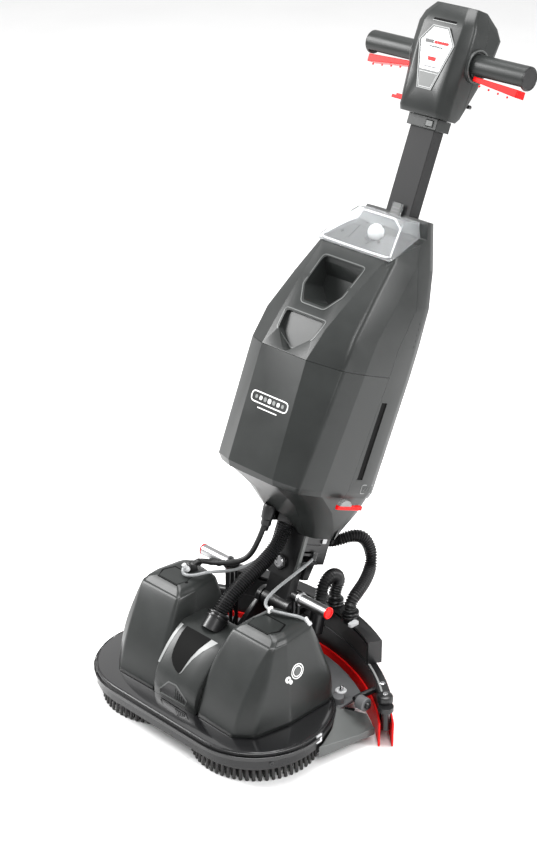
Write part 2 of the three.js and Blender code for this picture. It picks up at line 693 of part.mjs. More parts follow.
const STEM_FOOT = 470;
const BATTERY_HALF = 52;
const BATTERY_LOW = 232;
const BATTERY_HIGH = 392;
const BATTERY_FRONT = -6;

function stemWell(grow) {
  return box(
    -STEM_WIDTH / 2 - grow, STEM_WIDTH / 2 + grow,
    STEM_FRONT - grow, STEM_FRONT + STEM_DEPTH + grow,
    STEM_FOOT - STEM_TRAVEL - 2 - grow, BODY_TOP + 10);
}

function batteryBay(grow) {
  return box(
    -BATTERY_HALF - grow, BATTERY_HALF + grow, BATTERY_FRONT - grow, 90,
    BATTERY_LOW - grow, BATTERY_HIGH + grow);
}

// The rear shell is open towards the tanks; walls stand round the stem well and the battery bay.
function rearShell() {
  const cavity = bodySolid(-WALL)
    .intersect(behindSeam(-1))
    .intersect(box(-120, 120, -60, 90, BODY_BASE + WALL, LID_EDGE))
    .subtract(stemWell(WALL + SLIDE))
    .subtract(batteryBay(WALL + SLIDE));
  const gaugeSlot = box(88, 110, GAUGE_FRONT - FIT, GAUGE_BACK + FIT, GAUGE_LOW - FIT, GAUGE_HIGH + FIT);
  return bodySolid()
    .intersect(behindSeam(0))
    .subtract(cavity)
    .subtract(stemWell(SLIDE))
    .subtract(batteryBay(SLIDE))
    .subtract(gaugeSlot)
    .subtract(aboveLidSlope(0));
}

const GAUGE_FRONT = -14;
const GAUGE_BACK = -1;
const GAUGE_LOW = 236;
const GAUGE_HIGH = 360;

function sideGauge() {
  const strip = box(88 + FIT, 110, GAUGE_FRONT, GAUGE_BACK, GAUGE_LOW, GAUGE_HIGH);
  return strip.intersect(bodySolid(-1));
}

function batteryPack() {
  const pack = box(-BATTERY_HALF, BATTERY_HALF, BATTERY_FRONT, 60, BATTERY_LOW, BATTERY_HIGH);
  const grip = box(-26, 26, 38, 61, BATTERY_HIGH - 26, BATTERY_HIGH - 8);
  return pack.intersect(bodySolid()).subtract(grip);
}

const FILLER_RADIUS = 20;

function cleanTank() {
  const room = bodySolid(-WALL)
    .intersect(beforeSeam(BODY_BASE + 2 * WALL, TANK_SEAM - 2 * WALL, -WALL - FIT));
  const filler = bar([0, -120, TANK_SEAM - 30], [0, -120, TANK_SEAM + 5], FILLER_RADIUS, 20);
  return bodySolid()
    .intersect(beforeSeam(BODY_BASE + FIT, TANK_SEAM - FIT, -FIT))
    .subtract(room)
    .subtract(filler);
}

// The slope that the clear lid sits on, as a block above it.
const LID_BACK_Y = 14;
const LID_BACK_Z = 612;

const LID_FRONT_Y = -66;

function aboveLidSlope(offset) {
  return prismX([
    [LID_FRONT_Y - 60, LID_EDGE + offset],
    [LID_FRONT_Y, LID_EDGE + offset],
    [LID_BACK_Y + 1, LID_BACK_Z + offset],
    [LID_BACK_Y + 1, BODY_TOP + 60],
    [LID_FRONT_Y - 60, BODY_TOP + 60],
  ], -130, 130);
}

// The carry recess: a rounded window narrowing downwards, cut back into the front.
function carryRecess(grow) {
  const outline = [[40, 548, 8], [-40, 548, 8], [-38, 500, 8], [-22, 478, 8], [22, 478, 8], [38, 500, 8]];
  const corners = outline.map(([x, z, r]) => [x + Math.sign(x) * grow, z + (z > 520 ? grow : -grow), r]);
  const floor = prismX([
    [-60 + grow, 460], [-30, 460], [-30, 570], [-72 + grow, 570], [-72 + grow, 540], [-60 + grow, 520],
  ], -60, 60);
  return prismY(roundedOutline(corners), -160, -40).subtract(floor);
}

// The shield-shaped dimple under the carry recess.
function shieldRecess(grow) {
  const outline = [[38, 458, 5], [-38, 458, 5], [-34, 430, 10], [0, 398, 12], [34, 430, 10]];
  const corners = outline.map(([x, z, r]) => [x + Math.sign(x) * grow, z + (z > 450 ? grow : -grow), r]);
  const floor = prismX([
    [-143 + grow, 380], [-90, 380], [-90, 480], [-122 + grow, 480], [-122 + grow, 462],
  ], -60, 60);
  return prismY(roundedOutline(corners), -170, -90).subtract(floor);
}

const FLOAT_RADIUS = 13;
const FLOAT_Y = -20;
const FLOAT_Z = 601;
const FLOAT_WELL = 14.2;

function recoveryTank() {
  const low = TANK_SEAM + FIT;
  const room = bodySolid(-WALL)
    .intersect(beforeSeam(low + WALL, BODY_TOP - WALL, -WALL - FIT))
    .subtract(aboveLidSlope(-WALL))
    .subtract(carryRecess(WALL))
    .subtract(shieldRecess(WALL));
  const outlet = bar([0, FLOAT_Y, 560], [0, FLOAT_Y, 640], FLOAT_WELL, 24);
  return bodySolid()
    .intersect(beforeSeam(low, BODY_TOP + 4, -FIT))
    .subtract(room)
    .subtract(aboveLidSlope(0))
    .subtract(carryRecess(0))
    .subtract(shieldRecess(0))
    .subtract(outlet);
}

function lidBlock(inset) {
  const low = inset ? 4 : 0;
  const side = prismX([
    [LID_FRONT_Y + inset * 1.4, LID_EDGE + FIT - low],
    [LID_FRONT_Y + 4 + inset, LID_EDGE + 5],
    [-28 + inset, LID_EDGE + 58 - inset * 0.6],
    [-20 + inset * 0.5, LID_EDGE + 64 - inset],
    [LID_BACK_Y - inset, LID_EDGE + 66 - inset],
    [LID_BACK_Y - inset, LID_BACK_Z - low],
  ], -90, 90);
  const front = prismY([
    [-76 + inset, LID_EDGE - 6],
    [76 - inset, LID_EDGE - 6],
    [74 - inset, LID_EDGE + 8],
    [50 - inset, LID_EDGE + 58],
    [44 - inset, LID_EDGE + 84],
    [-44 + inset, LID_EDGE + 84],
    [-50 + inset, LID_EDGE + 58],
    [-74 + inset, LID_EDGE + 8],
  ], -100, 60);
  return side.intersect(front);
}

function lid() {
  const dome = lidBlock(0).subtract(lidBlock(2));
  const tab = box(-10, 10, LID_BACK_Y - 4, LID_BACK_Y, LID_EDGE + 60, LID_EDGE + 84);
  return dome.add(tab).intersect(aboveLidSlope(FIT));
}

function floatBall() {
  return toSolid(new THREE.SphereGeometry(FLOAT_RADIUS, 20, 12).translate(0, FLOAT_Y, FLOAT_Z));
}

// ---------------------------------------------------------------- chin under the body
const CHIN_LEVELS = [
  [BODY_BASE - 82, -22, 34, 44, -14, 50, 46, 36],
  [BODY_BASE - 60, -46, 38, 54, -36, 60, 60, 46],
  [BODY_BASE - 30, -80, 42, 66, -70, 74, 76, 47],
  [BODY_BASE - FIT, -140, 45, 80, -124, 89, 85, 47],
];

const CHIN_FLOOR = BODY_BASE - 8;   // underside of the plate that closes the chin on top

const CHIN_WALL = 5;

function chinLevel([z, ...sizes], grow, shift = 0) {
  return [z + shift, bodyCorners(...sizes, grow)];
}

// The chin is a shell, open underneath, with an arch in front where a hose and a cable pass.
function chinCradle() {
  const outside = stack(CHIN_LEVELS.map((level) => chinLevel(level, 0)));
  const mouth = chinLevel(CHIN_LEVELS[0], -CHIN_WALL, -2);
  const hollow = stack([mouth, ...CHIN_LEVELS.map((level) => chinLevel(level, -CHIN_WALL))])
    .intersect(box(-120, 120, -170, 90, 60, CHIN_FLOOR));
  const archOutline = [[-40, 60], [18, 60], [17, 130], [8, 142], [-10, 148], [-28, 146], [-39, 134]];
  const hoseArch = prismY(archOutline, -120, 0);
  const neckRoom = box(-NECK_WIDTH / 2 - FIT, NECK_WIDTH / 2 + FIT, -20 - FIT, 48 + FIT,
    60, BODY_BASE - 4 + FIT);
  return outside.subtract(hollow).subtract(hoseArch).subtract(neckRoom);
}

const LATCH_X = 92;

function tankLatch() {
  return box(LATCH_X, LATCH_X + 5, -46, 14, BODY_BASE - 17, BODY_BASE - 10)
    .add(box(LATCH_X - 2, LATCH_X + 1, 2, 14, BODY_BASE - 17, BODY_BASE - 10));
}

function vacMotor() {
  return bar([56, 22, TANK_SEAM + 12], [56, 22, TANK_SEAM + 62], 20, 20);
}

function waterPump() {
  return bar([-60, 12, TANK_SEAM + 12], [-60, 12, TANK_SEAM + 60], 17, 16);
}

// ---------------------------------------------------------------- stem and head
function stem() {
  const top = HEAD_BASE + STEM_IN_HEAD;
  const half = STEM_WIDTH / 2;
  const outside = box(-half, half, STEM_FRONT, STEM_FRONT + STEM_DEPTH, STEM_FOOT, top);
  const bore = box(-half + STEM_WALL, half - STEM_WALL, STEM_FRONT + STEM_WALL,
    STEM_FRONT + STEM_DEPTH - STEM_WALL, STEM_FOOT - 1, top - STEM_WALL);
  return outside.subtract(bore);
}

const COLLAR_LOW = HEAD_BASE - 18;
const COLLAR_OVERLAP = 5;

function stemCollar() {
  const over = COLLAR_OVERLAP;
  const outside = box(-STEM_WIDTH / 2 - over, STEM_WIDTH / 2 + over, STEM_FRONT - over,
    STEM_FRONT + STEM_DEPTH + over, COLLAR_LOW, HEAD_BASE - FIT);
  const inside = box(-STEM_WIDTH / 2 - FIT, STEM_WIDTH / 2 + FIT, STEM_FRONT - FIT,
    STEM_FRONT + STEM_DEPTH + FIT, COLLAR_LOW - 1, HEAD_BASE + 1);
  return outside.subtract(inside).subtract(box(BUTTON_LEFT - SLIDE, BUTTON_LEFT + BUTTON_WIDTH + SLIDE,
    STEM_FRONT - over - 1, STEM_FRONT + 1, COLLAR_LOW + 4 - SLIDE, COLLAR_LOW + 13 + SLIDE));
}

const BUTTON_LEFT = 8;
const BUTTON_WIDTH = 13;
const BUTTON_PROUD = 1.5;

function collarButton() {
  const face = STEM_FRONT - COLLAR_OVERLAP - BUTTON_PROUD;
  return box(BUTTON_LEFT, BUTTON_LEFT + BUTTON_WIDTH, face, face + 4, COLLAR_LOW + 4, COLLAR_LOW + 13);
}

// Head outline at one height: crowned front, straight sides, flat back.
function headCorners(frontY, panel, cornerY, half, backY, grow) {
  return symmetricCorners([
    [panel, frontY - grow, 10],
    [half + grow, cornerY - grow, 8],
    [half + grow, backY + grow, 10],
  ]);
}

const HEAD_LEVELS = [
  [0, -2, 36, 10, 48, 34],
  [8, -7, 36, 8, 49.5, 40],
  [59, -8, 37, 5, 51, 60],
  [107, -8, 38, 3, 55, 72],
  [136, -6, 38, 3, 55, 76],
  [152, -2, 34, 5, 50, 66],
  [HEAD_HEIGHT, 10, 26, 14, 41, 44],
];

function headSolid(grow) {
  return stack(HEAD_LEVELS.map(([rise, ...sizes]) => [HEAD_BASE + rise, headCorners(...sizes, grow)]));
}

function headShell() {
  const hollow = stack(HEAD_LEVELS.slice(0, -1).map(([rise, ...sizes]) => (
    [HEAD_BASE + rise + (rise === 0 ? WALL : 0), headCorners(...sizes, -WALL)]
  )));
  const stemHole = box(-STEM_WIDTH / 2 - FIT, STEM_WIDTH / 2 + FIT, STEM_FRONT - FIT,
    STEM_FRONT + STEM_DEPTH + FIT, HEAD_BASE - 1, HEAD_BASE + STEM_IN_HEAD + 10);
  const gripHole = bar([-70, GRIP_Y, GRIP_Z], [70, GRIP_Y, GRIP_Z], GRIP_RADIUS + FIT, 24);
  return headSolid(0).subtract(hollow).subtract(stemHole).subtract(gripHole);
}

function headFront() {
  const plate = LABEL_OUTLINE.map(([x, z]) => [x * 1.02, HEAD_BASE + z]);
  return headShell()
    .intersect(box(-90, 90, -30, HEAD_SPLIT_Y - FIT / 2, HEAD_BASE - 1, HEAD_BASE + HEAD_HEIGHT + 1))
    .subtract(prismY(plate, -30, -8 + 1.6))
    .subtract(box(-60, -43, 4, 22, HEAD_BASE + 10, HEAD_BASE + 26));
}

function headRear() {
  return headShell()
    .intersect(box(-90, 90, HEAD_SPLIT_Y + FIT / 2, 120, HEAD_BASE - 1, HEAD_BASE + HEAD_HEIGHT + 1));
}

// Label plate outline, X by height above the head's base.
const LABEL_OUTLINE = [[-13, 38], [13, 38], [33, 108], [15, 132], [-15, 132], [-33, 108]];

function labelPlate() {
  return prismY(LABEL_OUTLINE.map(([x, z]) => [x, HEAD_BASE + z]), -8.2, -8 + 1.6 - FIT);
}

const TRIGGER_INNER = 62;
const TRIGGER_OUTER = 146;
const TRIGGER_HALF = 11;
const TRIGGER_POCKET = 11;       // depth of the pocket in the grip's underside

function grip() {
  const low = GRIP_Z - GRIP_RADIUS;
  const half = TRIGGER_HALF + 1;
  const pocket = box(TRIGGER_INNER - 3, TRIGGER_OUTER + 3, GRIP_Y - half, GRIP_Y + half,
    low - 1, low + TRIGGER_POCKET);
  return bar([16, GRIP_Y, GRIP_Z], [GRIP_REACH, GRIP_Y, GRIP_Z], GRIP_RADIUS, 24).subtract(pocket);
}

function trigger() {
  const low = GRIP_Z - GRIP_RADIUS;
  const outline = [
    [TRIGGER_INNER, low + 3],
    [TRIGGER_INNER, low - 4],
    [TRIGGER_OUTER, low - 13],
    [TRIGGER_OUTER, low - 1],
  ];
  return prismY(outline, GRIP_Y - TRIGGER_HALF, GRIP_Y + TRIGGER_HALF).subtract(headSolid(SLIDE));
}

function redLever() {
  return box(-70, -44, 9, 17, HEAD_BASE + 14, HEAD_BASE + 22)
    .subtract(box(-80, -62, 0, 30, HEAD_BASE + 19, HEAD_BASE + 30));
}

// ---------------------------------------------------------------- hoses, cable and tubes
// Route points in the deck's frame, chosen by hand.
const FRONT_HOSE = [
  [0, 168, 274], [0, 160, 258], [0, 148, 244], [0, 132, 232], [0, 112, 222], [0, 90, 214],
  [0, 70, 205], [0, 54, 197], [0, 42, 190], [0, 33, 182], [0, 26.1, 174.3], [0, 18.8, 166.3],
];
const POWER_CABLE = [
  [-26, 150, 276], [-27, 142, 258], [-29, 134, 242], [-33, 128, 228], [-39, 121, 217], [-48, 113, 210],
  [-58, 104, 207], [-69, 94, 206], [-79, 84, 207], [-87, 74, 210], [-92, 64, 211], [-94, 56, 207],
];
const SUCTION_HOSE = [
  [20, 241.2, 223.4], [20.5, 250.3, 219.6], [24, 259, 218], [29, 267, 219], [34, 276, 221],
  [39, 286, 221], [44, 296, 217], [49, 303, 208], [54, 306, 195], [58, 305, 182], [64, 297, 170],
  [71, 283, 163], [78, 266, 158], [83, 249, 154], [86, 235, 149], [87, 227, 142], [87, 225, 136],
  [87, 225, 130.8],
];
const SHORT_HOSE = [
  [55, 190.5, 145], [54, 194, 157], [52, 200, 169], [50, 212, 177], [48, 226, 178], [46, 239, 170],
  [45, 243, 158], [44, 239, 146], [44, 236, 137], [44, 236, 130.8],
];
const RIGHT_TUBE = [
  [34, 196, 214], [38, 176, 213], [42, 154, 212], [46, 130, 211], [50, 106, 210], [55, 84, 209],
  [61, 66, 208], [70, 54, 207], [82, 50, 206], [96, 53, 206], [110, 60, 205], [122, 70, 202],
  [130, 80, 195],
];
const LEFT_TUBE = [
  [-94, 40, 212], [-92, 34, 208], [-87, 32, 204], [-80, 36, 203], [-72, 44, 204], [-64, 56, 206],
  [-60, 72, 203], [-56, 90, 198], [-51, 110, 195], [-46, 130, 197], [-40, 152, 202], [-37, 176, 208],
];

// ---------------------------------------------------------------- assembly
const machine = new THREE.Group();
const deck = new THREE.Group();
const column = new THREE.Group();
column.position.set(0, TILT_AXIS_Y, TILT_AXIS_Z);
column.rotation.x = radians(-LEAN);
machine.add(deck, column);

function addPair(group, name, solid, material) {
  group.add(piece(`${name}_right`, solid, material));
  group.add(piece(`${name}_left`, mirrored(solid), material));
}

deck.add(piece('deck_base', deckBase(), BLACK_PLASTIC));
deck.add(piece('skirt_bead', skirtBead(), BLACK_RUBBER));
addPair(deck, 'motor_cowl', cowl(), GREY_PLASTIC);
deck.add(piece('centre_cowl', centreCowl(), GREY_PLASTIC));
addPair(deck, 'brush_motor', motor(), STEEL);
deck.add(piece('hose_socket', hoseSocket(), BLACK_PLASTIC));
addPair(deck, 'brush_disc', brushDisc(), BLACK_PLASTIC);
addPair(deck, 'brush_bristles', bristleRing(), BRISTLE);
deck.add(piece('rear_shroud', rearShroud(), PALE_GREY));
addPair(deck, 'side_flap', sideFlap(), BLACK_PLASTIC);
deck.add(piece('pivot_bracket', pivotBracket(), BLACK_PLASTIC));
deck.add(piece('tilt_pin', tiltPin(), STEEL));
addPair(deck, 'peg_post', pegPost(), BLACK_PLASTIC);
addPair(deck, 'foot_peg', peg(), STEEL);
deck.add(piece('hose_elbow', hoseElbow(), BLACK_PLASTIC));
deck.add(piece('squeegee_arm', squeegeeArm(), BLACK_PLASTIC));
deck.add(piece('squeegee_body', squeegeeBody(), BLACK_PLASTIC));
deck.add(piece('squeegee_blade_front', blade(BAND_INNER - BLADE_THICKNESS - FIT, 42), RED_RUBBER));
deck.add(piece('squeegee_blade_rear', blade(SQUEEGEE_RADIUS + FIT, 42), RED_RUBBER));
deck.add(piece('suction_shell', suctionShell(), BLACK_PLASTIC));
addPair(deck, 'squeegee_roller', roller(), PALE_GREY);

column.add(piece('knuckle', knuckle(), BLACK_PLASTIC));
column.add(piece('swivel_bolt', swivelBolt(), STEEL));
column.add(piece('neck', neck(), BLACK_PLASTIC));
column.add(piece('chin_cradle', chinCradle(), GREY_PLASTIC));
column.add(piece('rear_shell', rearShell(), GREY_PLASTIC));
column.add(piece('side_gauge', sideGauge(), BLACK_PLASTIC));
column.add(piece('vac_motor', vacMotor(), STEEL));
column.add(piece('water_pump', waterPump(), BLACK_PLASTIC));
column.add(piece('battery_pack', batteryPack(), BLACK_PLASTIC));
column.add(piece('clean_tank', cleanTank(), GREY_PLASTIC));
column.add(piece('recovery_tank', recoveryTank(), GREY_PLASTIC));
column.add(piece('lid', lid(), CLEAR));
column.add(piece('float_ball', floatBall(), WHITE_PLASTIC));
column.add(piece('tank_latch', tankLatch(), RED_PLASTIC));
column.add(piece('stem', stem(), STEM_BLACK));
column.add(piece('stem_collar', stemCollar(), GREY_PLASTIC));
column.add(piece('collar_button', collarButton(), GREY_PLASTIC));
column.add(piece('head_front', headFront(), GREY_PLASTIC));
column.add(piece('head_rear', headRear(), GREY_PLASTIC));
column.add(piece('label_plate', labelPlate(), LABEL));
addPair(column, 'grip', grip(), GREY_PLASTIC);
addPair(column, 'trigger', trigger(), RED_PLASTIC);
column.add(piece('head_lever', redLever(), RED_PLASTIC));

deck.add(piece('front_hose', tube(FRONT_HOSE, HOSE_RADIUS, 10, 16), BLACK_RUBBER));
deck.add(piece('power_cable', tube(POWER_CABLE, CABLE_RADIUS, 8, 18), BLACK_RUBBER));
deck.add(piece('suction_hose', tube(SUCTION_HOSE, SUCTION_HOSE_RADIUS, 10, 18), BLACK_RUBBER));
deck.add(piece('short_hose', tube(SHORT_HOSE, SUCTION_HOSE_RADIUS, 10, 10), BLACK_RUBBER));
deck.add(piece('water_tube_right', tube(RIGHT_TUBE, WATER_TUBE_RADIUS, 8, 20), TUBE_GREY));
deck.add(piece('water_tube_left', tube(LEFT_TUBE, WATER_TUBE_RADIUS, 8, 20), TUBE_GREY));

// The row's origin: the middle of the rigid pieces' box in X and Y, on the floor.
const SOFT_PIECES = [
  'front_hose', 'power_cable', 'suction_hose', 'short_hose', 'water_tube_right', 'water_tube_left',
];
machine.updateMatrixWorld(true);
const extent = new THREE.Box3();
machine.traverse((object) => {
  if (object.isMesh && !SOFT_PIECES.includes(object.name)) extent.expandByObject(object, true);
});
machine.position.y = -(extent.min.y + extent.max.y) / 2;

export default machine;
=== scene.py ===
# Upright twin-brush floor scrubber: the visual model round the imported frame. Metres, +Z up.
import json
import math

import bmesh
import bpy
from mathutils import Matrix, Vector
from mathutils.bvhtree import BVHTree


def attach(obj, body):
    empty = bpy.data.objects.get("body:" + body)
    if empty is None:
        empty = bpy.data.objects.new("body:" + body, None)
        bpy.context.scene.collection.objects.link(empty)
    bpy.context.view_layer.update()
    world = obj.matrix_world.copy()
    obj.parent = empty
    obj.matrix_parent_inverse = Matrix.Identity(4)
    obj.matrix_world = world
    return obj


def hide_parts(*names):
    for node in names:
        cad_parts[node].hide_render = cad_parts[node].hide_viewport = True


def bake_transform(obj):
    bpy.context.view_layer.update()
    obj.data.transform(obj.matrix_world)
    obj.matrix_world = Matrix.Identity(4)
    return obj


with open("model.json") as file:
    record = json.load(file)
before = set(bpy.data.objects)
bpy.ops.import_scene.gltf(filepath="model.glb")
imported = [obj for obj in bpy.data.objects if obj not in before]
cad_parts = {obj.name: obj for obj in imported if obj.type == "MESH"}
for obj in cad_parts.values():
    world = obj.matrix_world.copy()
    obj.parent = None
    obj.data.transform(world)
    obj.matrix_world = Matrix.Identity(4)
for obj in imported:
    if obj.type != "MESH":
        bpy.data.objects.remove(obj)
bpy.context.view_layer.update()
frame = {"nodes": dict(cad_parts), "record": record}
NODES = frame["nodes"]

# ------------------------------------------------------------------ places
MM = 0.001
BACK = 232.0686                    # brush line to the frame's origin, mm
BRUSH_X = 102.1                    # centre line to each brush axis
UP = Vector((0, 0, 1))
LEAN = math.radians(22.6)
TILT_Y, TILT_Z = 150.0, 140.0
COS, SIN = math.cos(LEAN), math.sin(LEAN)


def deck_point(x, y, z):
    """A point measured in mm from the floor under the brush line."""
    return Vector((x, y - BACK, z)) * MM


def column_point(x, y, z):
    """A point measured in mm in the leaning column's own axes, from the tilt pin."""
    return deck_point(x, TILT_Y + y * COS + z * SIN, TILT_Z - y * SIN + z * COS)


# ------------------------------------------------------------------ camera
camera_data = bpy.data.cameras.new("camera")
camera_data.lens = 76.8
camera = bpy.data.objects.new("camera", camera_data)
camera.location = (1.75599, -1.86373, 1.67775)
camera.rotation_euler = (math.radians(90 - 26.40), 0, math.radians(44.904))
bpy.context.scene.collection.objects.link(camera)
bpy.context.scene.camera = camera


# ------------------------------------------------------------------ materials
def plastic(name, color, rough, spread=0.12, grain=900.0, bump=0.06, patch=22.0, **sockets):
    """A moulded surface: colour that varies softly, fine grain and uneven gloss."""
    material = bpy.data.materials.new(name)
    material.use_nodes = True
    tree = material.node_tree
    nodes, links = tree.nodes, tree.links
    shader = nodes["Principled BSDF"]
    place = nodes.new("ShaderNodeTexCoord")
    cloud = nodes.new("ShaderNodeTexNoise")
    cloud.inputs["Scale"].default_value = patch
    cloud.inputs["Detail"].default_value = 6
    links.new(place.outputs["Object"], cloud.inputs["Vector"])
    ramp = nodes.new("ShaderNodeValToRGB")
    low, high = ramp.color_ramp.elements
    low.position, high.position = 0.3, 0.7
    low.color = [c * (1 - spread) for c in color] + [1]
    high.color = [min(c * (1 + spread), 1) for c in color] + [1]
    links.new(cloud.outputs["Fac"], ramp.inputs["Fac"])
    links.new(ramp.outputs["Color"], shader.inputs["Base Color"])
    gloss = nodes.new("ShaderNodeMapRange")
    gloss.inputs["To Min"].default_value = max(rough - 0.07, 0.02)
    gloss.inputs["To Max"].default_value = min(rough + 0.07, 1)
    links.new(cloud.outputs["Fac"], gloss.inputs["Value"])
    links.new(gloss.outputs["Result"], shader.inputs["Roughness"])
    fine = nodes.new("ShaderNodeTexNoise")
    fine.inputs["Scale"].default_value = grain
    fine.inputs["Detail"].default_value = 3
    links.new(place.outputs["Object"], fine.inputs["Vector"])
    height = nodes.new("ShaderNodeBump")
    height.inputs["Strength"].default_value = bump
    height.inputs["Distance"].default_value = 0.0004
    links.new(fine.outputs["Fac"], height.inputs["Height"])
    links.new(height.outputs["Normal"], shader.inputs["Normal"])
    for socket, value in sockets.items():
        shader.inputs[socket.replace("_", " ")].default_value = value
    return material


GREY = plastic("grey_moulding", (0.0150, 0.0166, 0.0160), 0.34, 0.12, bump=0.06, Specular_IOR_Level=0.33)
GREY_LIGHT = plastic("grey_light_moulding", (0.075, 0.079, 0.077), 0.36, 0.08)
# Light grey trim; it also paints the highlight on the centre cowl channel's rims.
EDGE_GREY = plastic("edge_grey_moulding", (0.20, 0.205, 0.203), 0.34, 0.08)
BLACK = plastic("black_moulding", (0.0065, 0.0065, 0.007), 0.32, 0.2, bump=0.04)
GLOSS_BLACK = plastic("gloss_black", (0.0055, 0.0055, 0.006), 0.10, 0.2, bump=0.004, patch=10,
                      Coat_Weight=1.0, Coat_Roughness=0.03, Specular_IOR_Level=0.8)
SKIRT_BLACK = plastic("skirt_black", (0.007, 0.007, 0.0075), 0.28, 0.2, bump=0.03, Specular_IOR_Level=0.35)
LINE_BLACK = plastic("line_black", (0.001, 0.001, 0.001), 0.6, 0.2, Specular_IOR_Level=0.08)
STEM_PAINT = plastic("stem_powder", (0.014, 0.014, 0.0145), 0.5, 0.12, grain=1600, bump=0.16,
                     Specular_IOR_Level=0.2)
RED = plastic("red_moulding", (0.80, 0.001, 0.001), 0.36, 0.06, bump=0.04, Specular_IOR_Level=0.2)
RED_RUBBER = plastic("red_rubber", (0.62, 0.003, 0.003), 0.55, 0.12, bump=0.12, Specular_IOR_Level=0.2)
RUBBER = plastic("black_rubber", (0.0085, 0.0085, 0.009), 0.36, 0.25, bump=0.08, Specular_IOR_Level=0.45)
BEAD = plastic("bead_rubber", (0.012, 0.012, 0.0125), 0.26, 0.15, bump=0.05)
STEEL = plastic("brushed_steel", (0.42, 0.42, 0.43), 0.28, 0.08, grain=1400, bump=0.08, Metallic=1.0)
PLATED = plastic("satin_plated", (0.42, 0.42, 0.425), 0.30, 0.08, grain=500, bump=0.05, Metallic=1.0)
PALE = plastic("pale_moulding", (0.11, 0.112, 0.115), 0.42, 0.10)
PALE_RIM = plastic("pale_rim", (0.50, 0.505, 0.51), 0.35, 0.08)
BRISTLE = plastic("nylon_tufts", (0.020, 0.0195, 0.019), 0.6, 0.35, grain=2600, bump=0.5, patch=240)
CLEAR = plastic("clear_moulding", (0.93, 0.95, 0.96), 0.10, 0.03, bump=0.02,
                Transmission_Weight=0.92, IOR=1.25)
WHITE = plastic("white_moulding", (0.86, 0.86, 0.85), 0.35, 0.05)
TUBE = plastic("tube_plastic", (0.33, 0.34, 0.345), 0.22, 0.10, Transmission_Weight=0.35)
FILM = plastic("silver_film", (0.55, 0.56, 0.57), 0.25, 0.06, grain=500, Metallic=0.25)


# ------------------------------------------------------------------ mesh helpers
def add_mesh(name, mesh, material, body, replaced=()):
    """Puts a mesh in the scene, riding on its body, in place of the CAD nodes it replaces."""
    obj = bpy.data.objects.new(name, mesh)
    bpy.context.scene.collection.objects.link(obj)
    mesh.materials.clear()
    mesh.materials.append(material)
    if replaced:
        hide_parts(*replaced)
    if body:
        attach(obj, body)
    return obj


def mesh_of(name, points, faces, smooth_below=35):
    """A shaded mesh, smooth where its faces meet at less than smooth_below degrees."""
    mesh = bpy.data.meshes.new(name)
    mesh.from_pydata([tuple(p) for p in points], [], faces)
    mesh.validate()
    edit = bmesh.new()
    edit.from_mesh(mesh)
    bmesh.ops.recalc_face_normals(edit, faces=edit.faces)
    edit.to_mesh(mesh)
    edit.free()
    mesh.shade_smooth()
    mesh.set_sharp_from_angle(angle=math.radians(smooth_below))
    return mesh


def bevelled(obj, width, segments=2, angle=32):
    """Rounds the edges of obj by width mm."""
    modifier = obj.modifiers.new("edges", "BEVEL")
    modifier.width = width * MM
    modifier.segments = segments
    modifier.limit_method = "ANGLE"
    modifier.angle_limit = math.radians(angle)
    modifier.use_clamp_overlap = True
    modifier.harden_normals = False
    return obj


def refined(node, body, material, width=0.8, smooth_below=34, segments=2):
    """The CAD piece again with its edges rounded over."""
    mesh = NODES[node].data.copy()
    edit = bmesh.new()
    edit.from_mesh(mesh)
    bmesh.ops.remove_doubles(edit, verts=edit.verts, dist=2e-6)
    bmesh.ops.dissolve_limit(edit, angle_limit=math.radians(0.6), verts=edit.verts, edges=edit.edges)
    edit.to_mesh(mesh)
    edit.free()
    mesh.shade_smooth()
    mesh.set_sharp_from_angle(angle=math.radians(smooth_below))
    obj = add_mesh(node + "_shell", mesh, material, body, (node,))
    if width:
        bevelled(obj, width, segments, smooth_below)
    return obj


def smooth_line(points, step):
    """Points every step mm along a Catmull-Rom curve through the given ones."""
    pts = [Vector(p) for p in points]
    ends = [pts[0] * 2 - pts[1]] + pts + [pts[-1] * 2 - pts[-2]]
    dense = []
    for i in range(1, len(ends) - 2):
        a, b, c, d = ends[i - 1:i + 3]
        for k in range(12):
            t = k / 12
            dense.append(0.5 * ((2 * b) + (c - a) * t + (2 * a - 5 * b + 4 * c - d) * t * t
                                + (3 * b - a - 3 * c + d) * t ** 3))
    dense.append(pts[-1])
    lengths = [0.0]
    for p, q in zip(dense, dense[1:]):
        lengths.append(lengths[-1] + (q - p).length)
    count = max(2, round(lengths[-1] / step))
    line, j = [], 0
    for i in range(count + 1):
        want = lengths[-1] * i / count
        while j < len(dense) - 2 and lengths[j + 1] < want:
            j += 1
        span = lengths[j + 1] - lengths[j] or 1
        line.append(dense[j].lerp(dense[j + 1], (want - lengths[j]) / span))
    return line


def sweep(name, line, radius, sides=20):
    """A closed tube round a line of points; radius is a number or a function of the run along it."""
    rings, run = [], 0.0
    tangent = (line[1] - line[0]).normalized()
    normal = tangent.orthogonal().normalized()
    for i, p in enumerate(line):
        ahead = line[min(i + 1, len(line) - 1)] - line[max(i - 1, 0)]
        turn = tangent.rotation_difference(ahead.normalized())
        normal = (turn @ normal).normalized()
        tangent = ahead.normalized()
        if i:
            run += (p - line[i - 1]).length
        r = radius(run) if callable(radius) else radius
        side = tangent.cross(normal)
        rings.append([p + (normal * math.cos(a) + side * math.sin(a)) * r
                      for a in [2 * math.pi * k / sides for k in range(sides)]])
    return skin(name, rings)


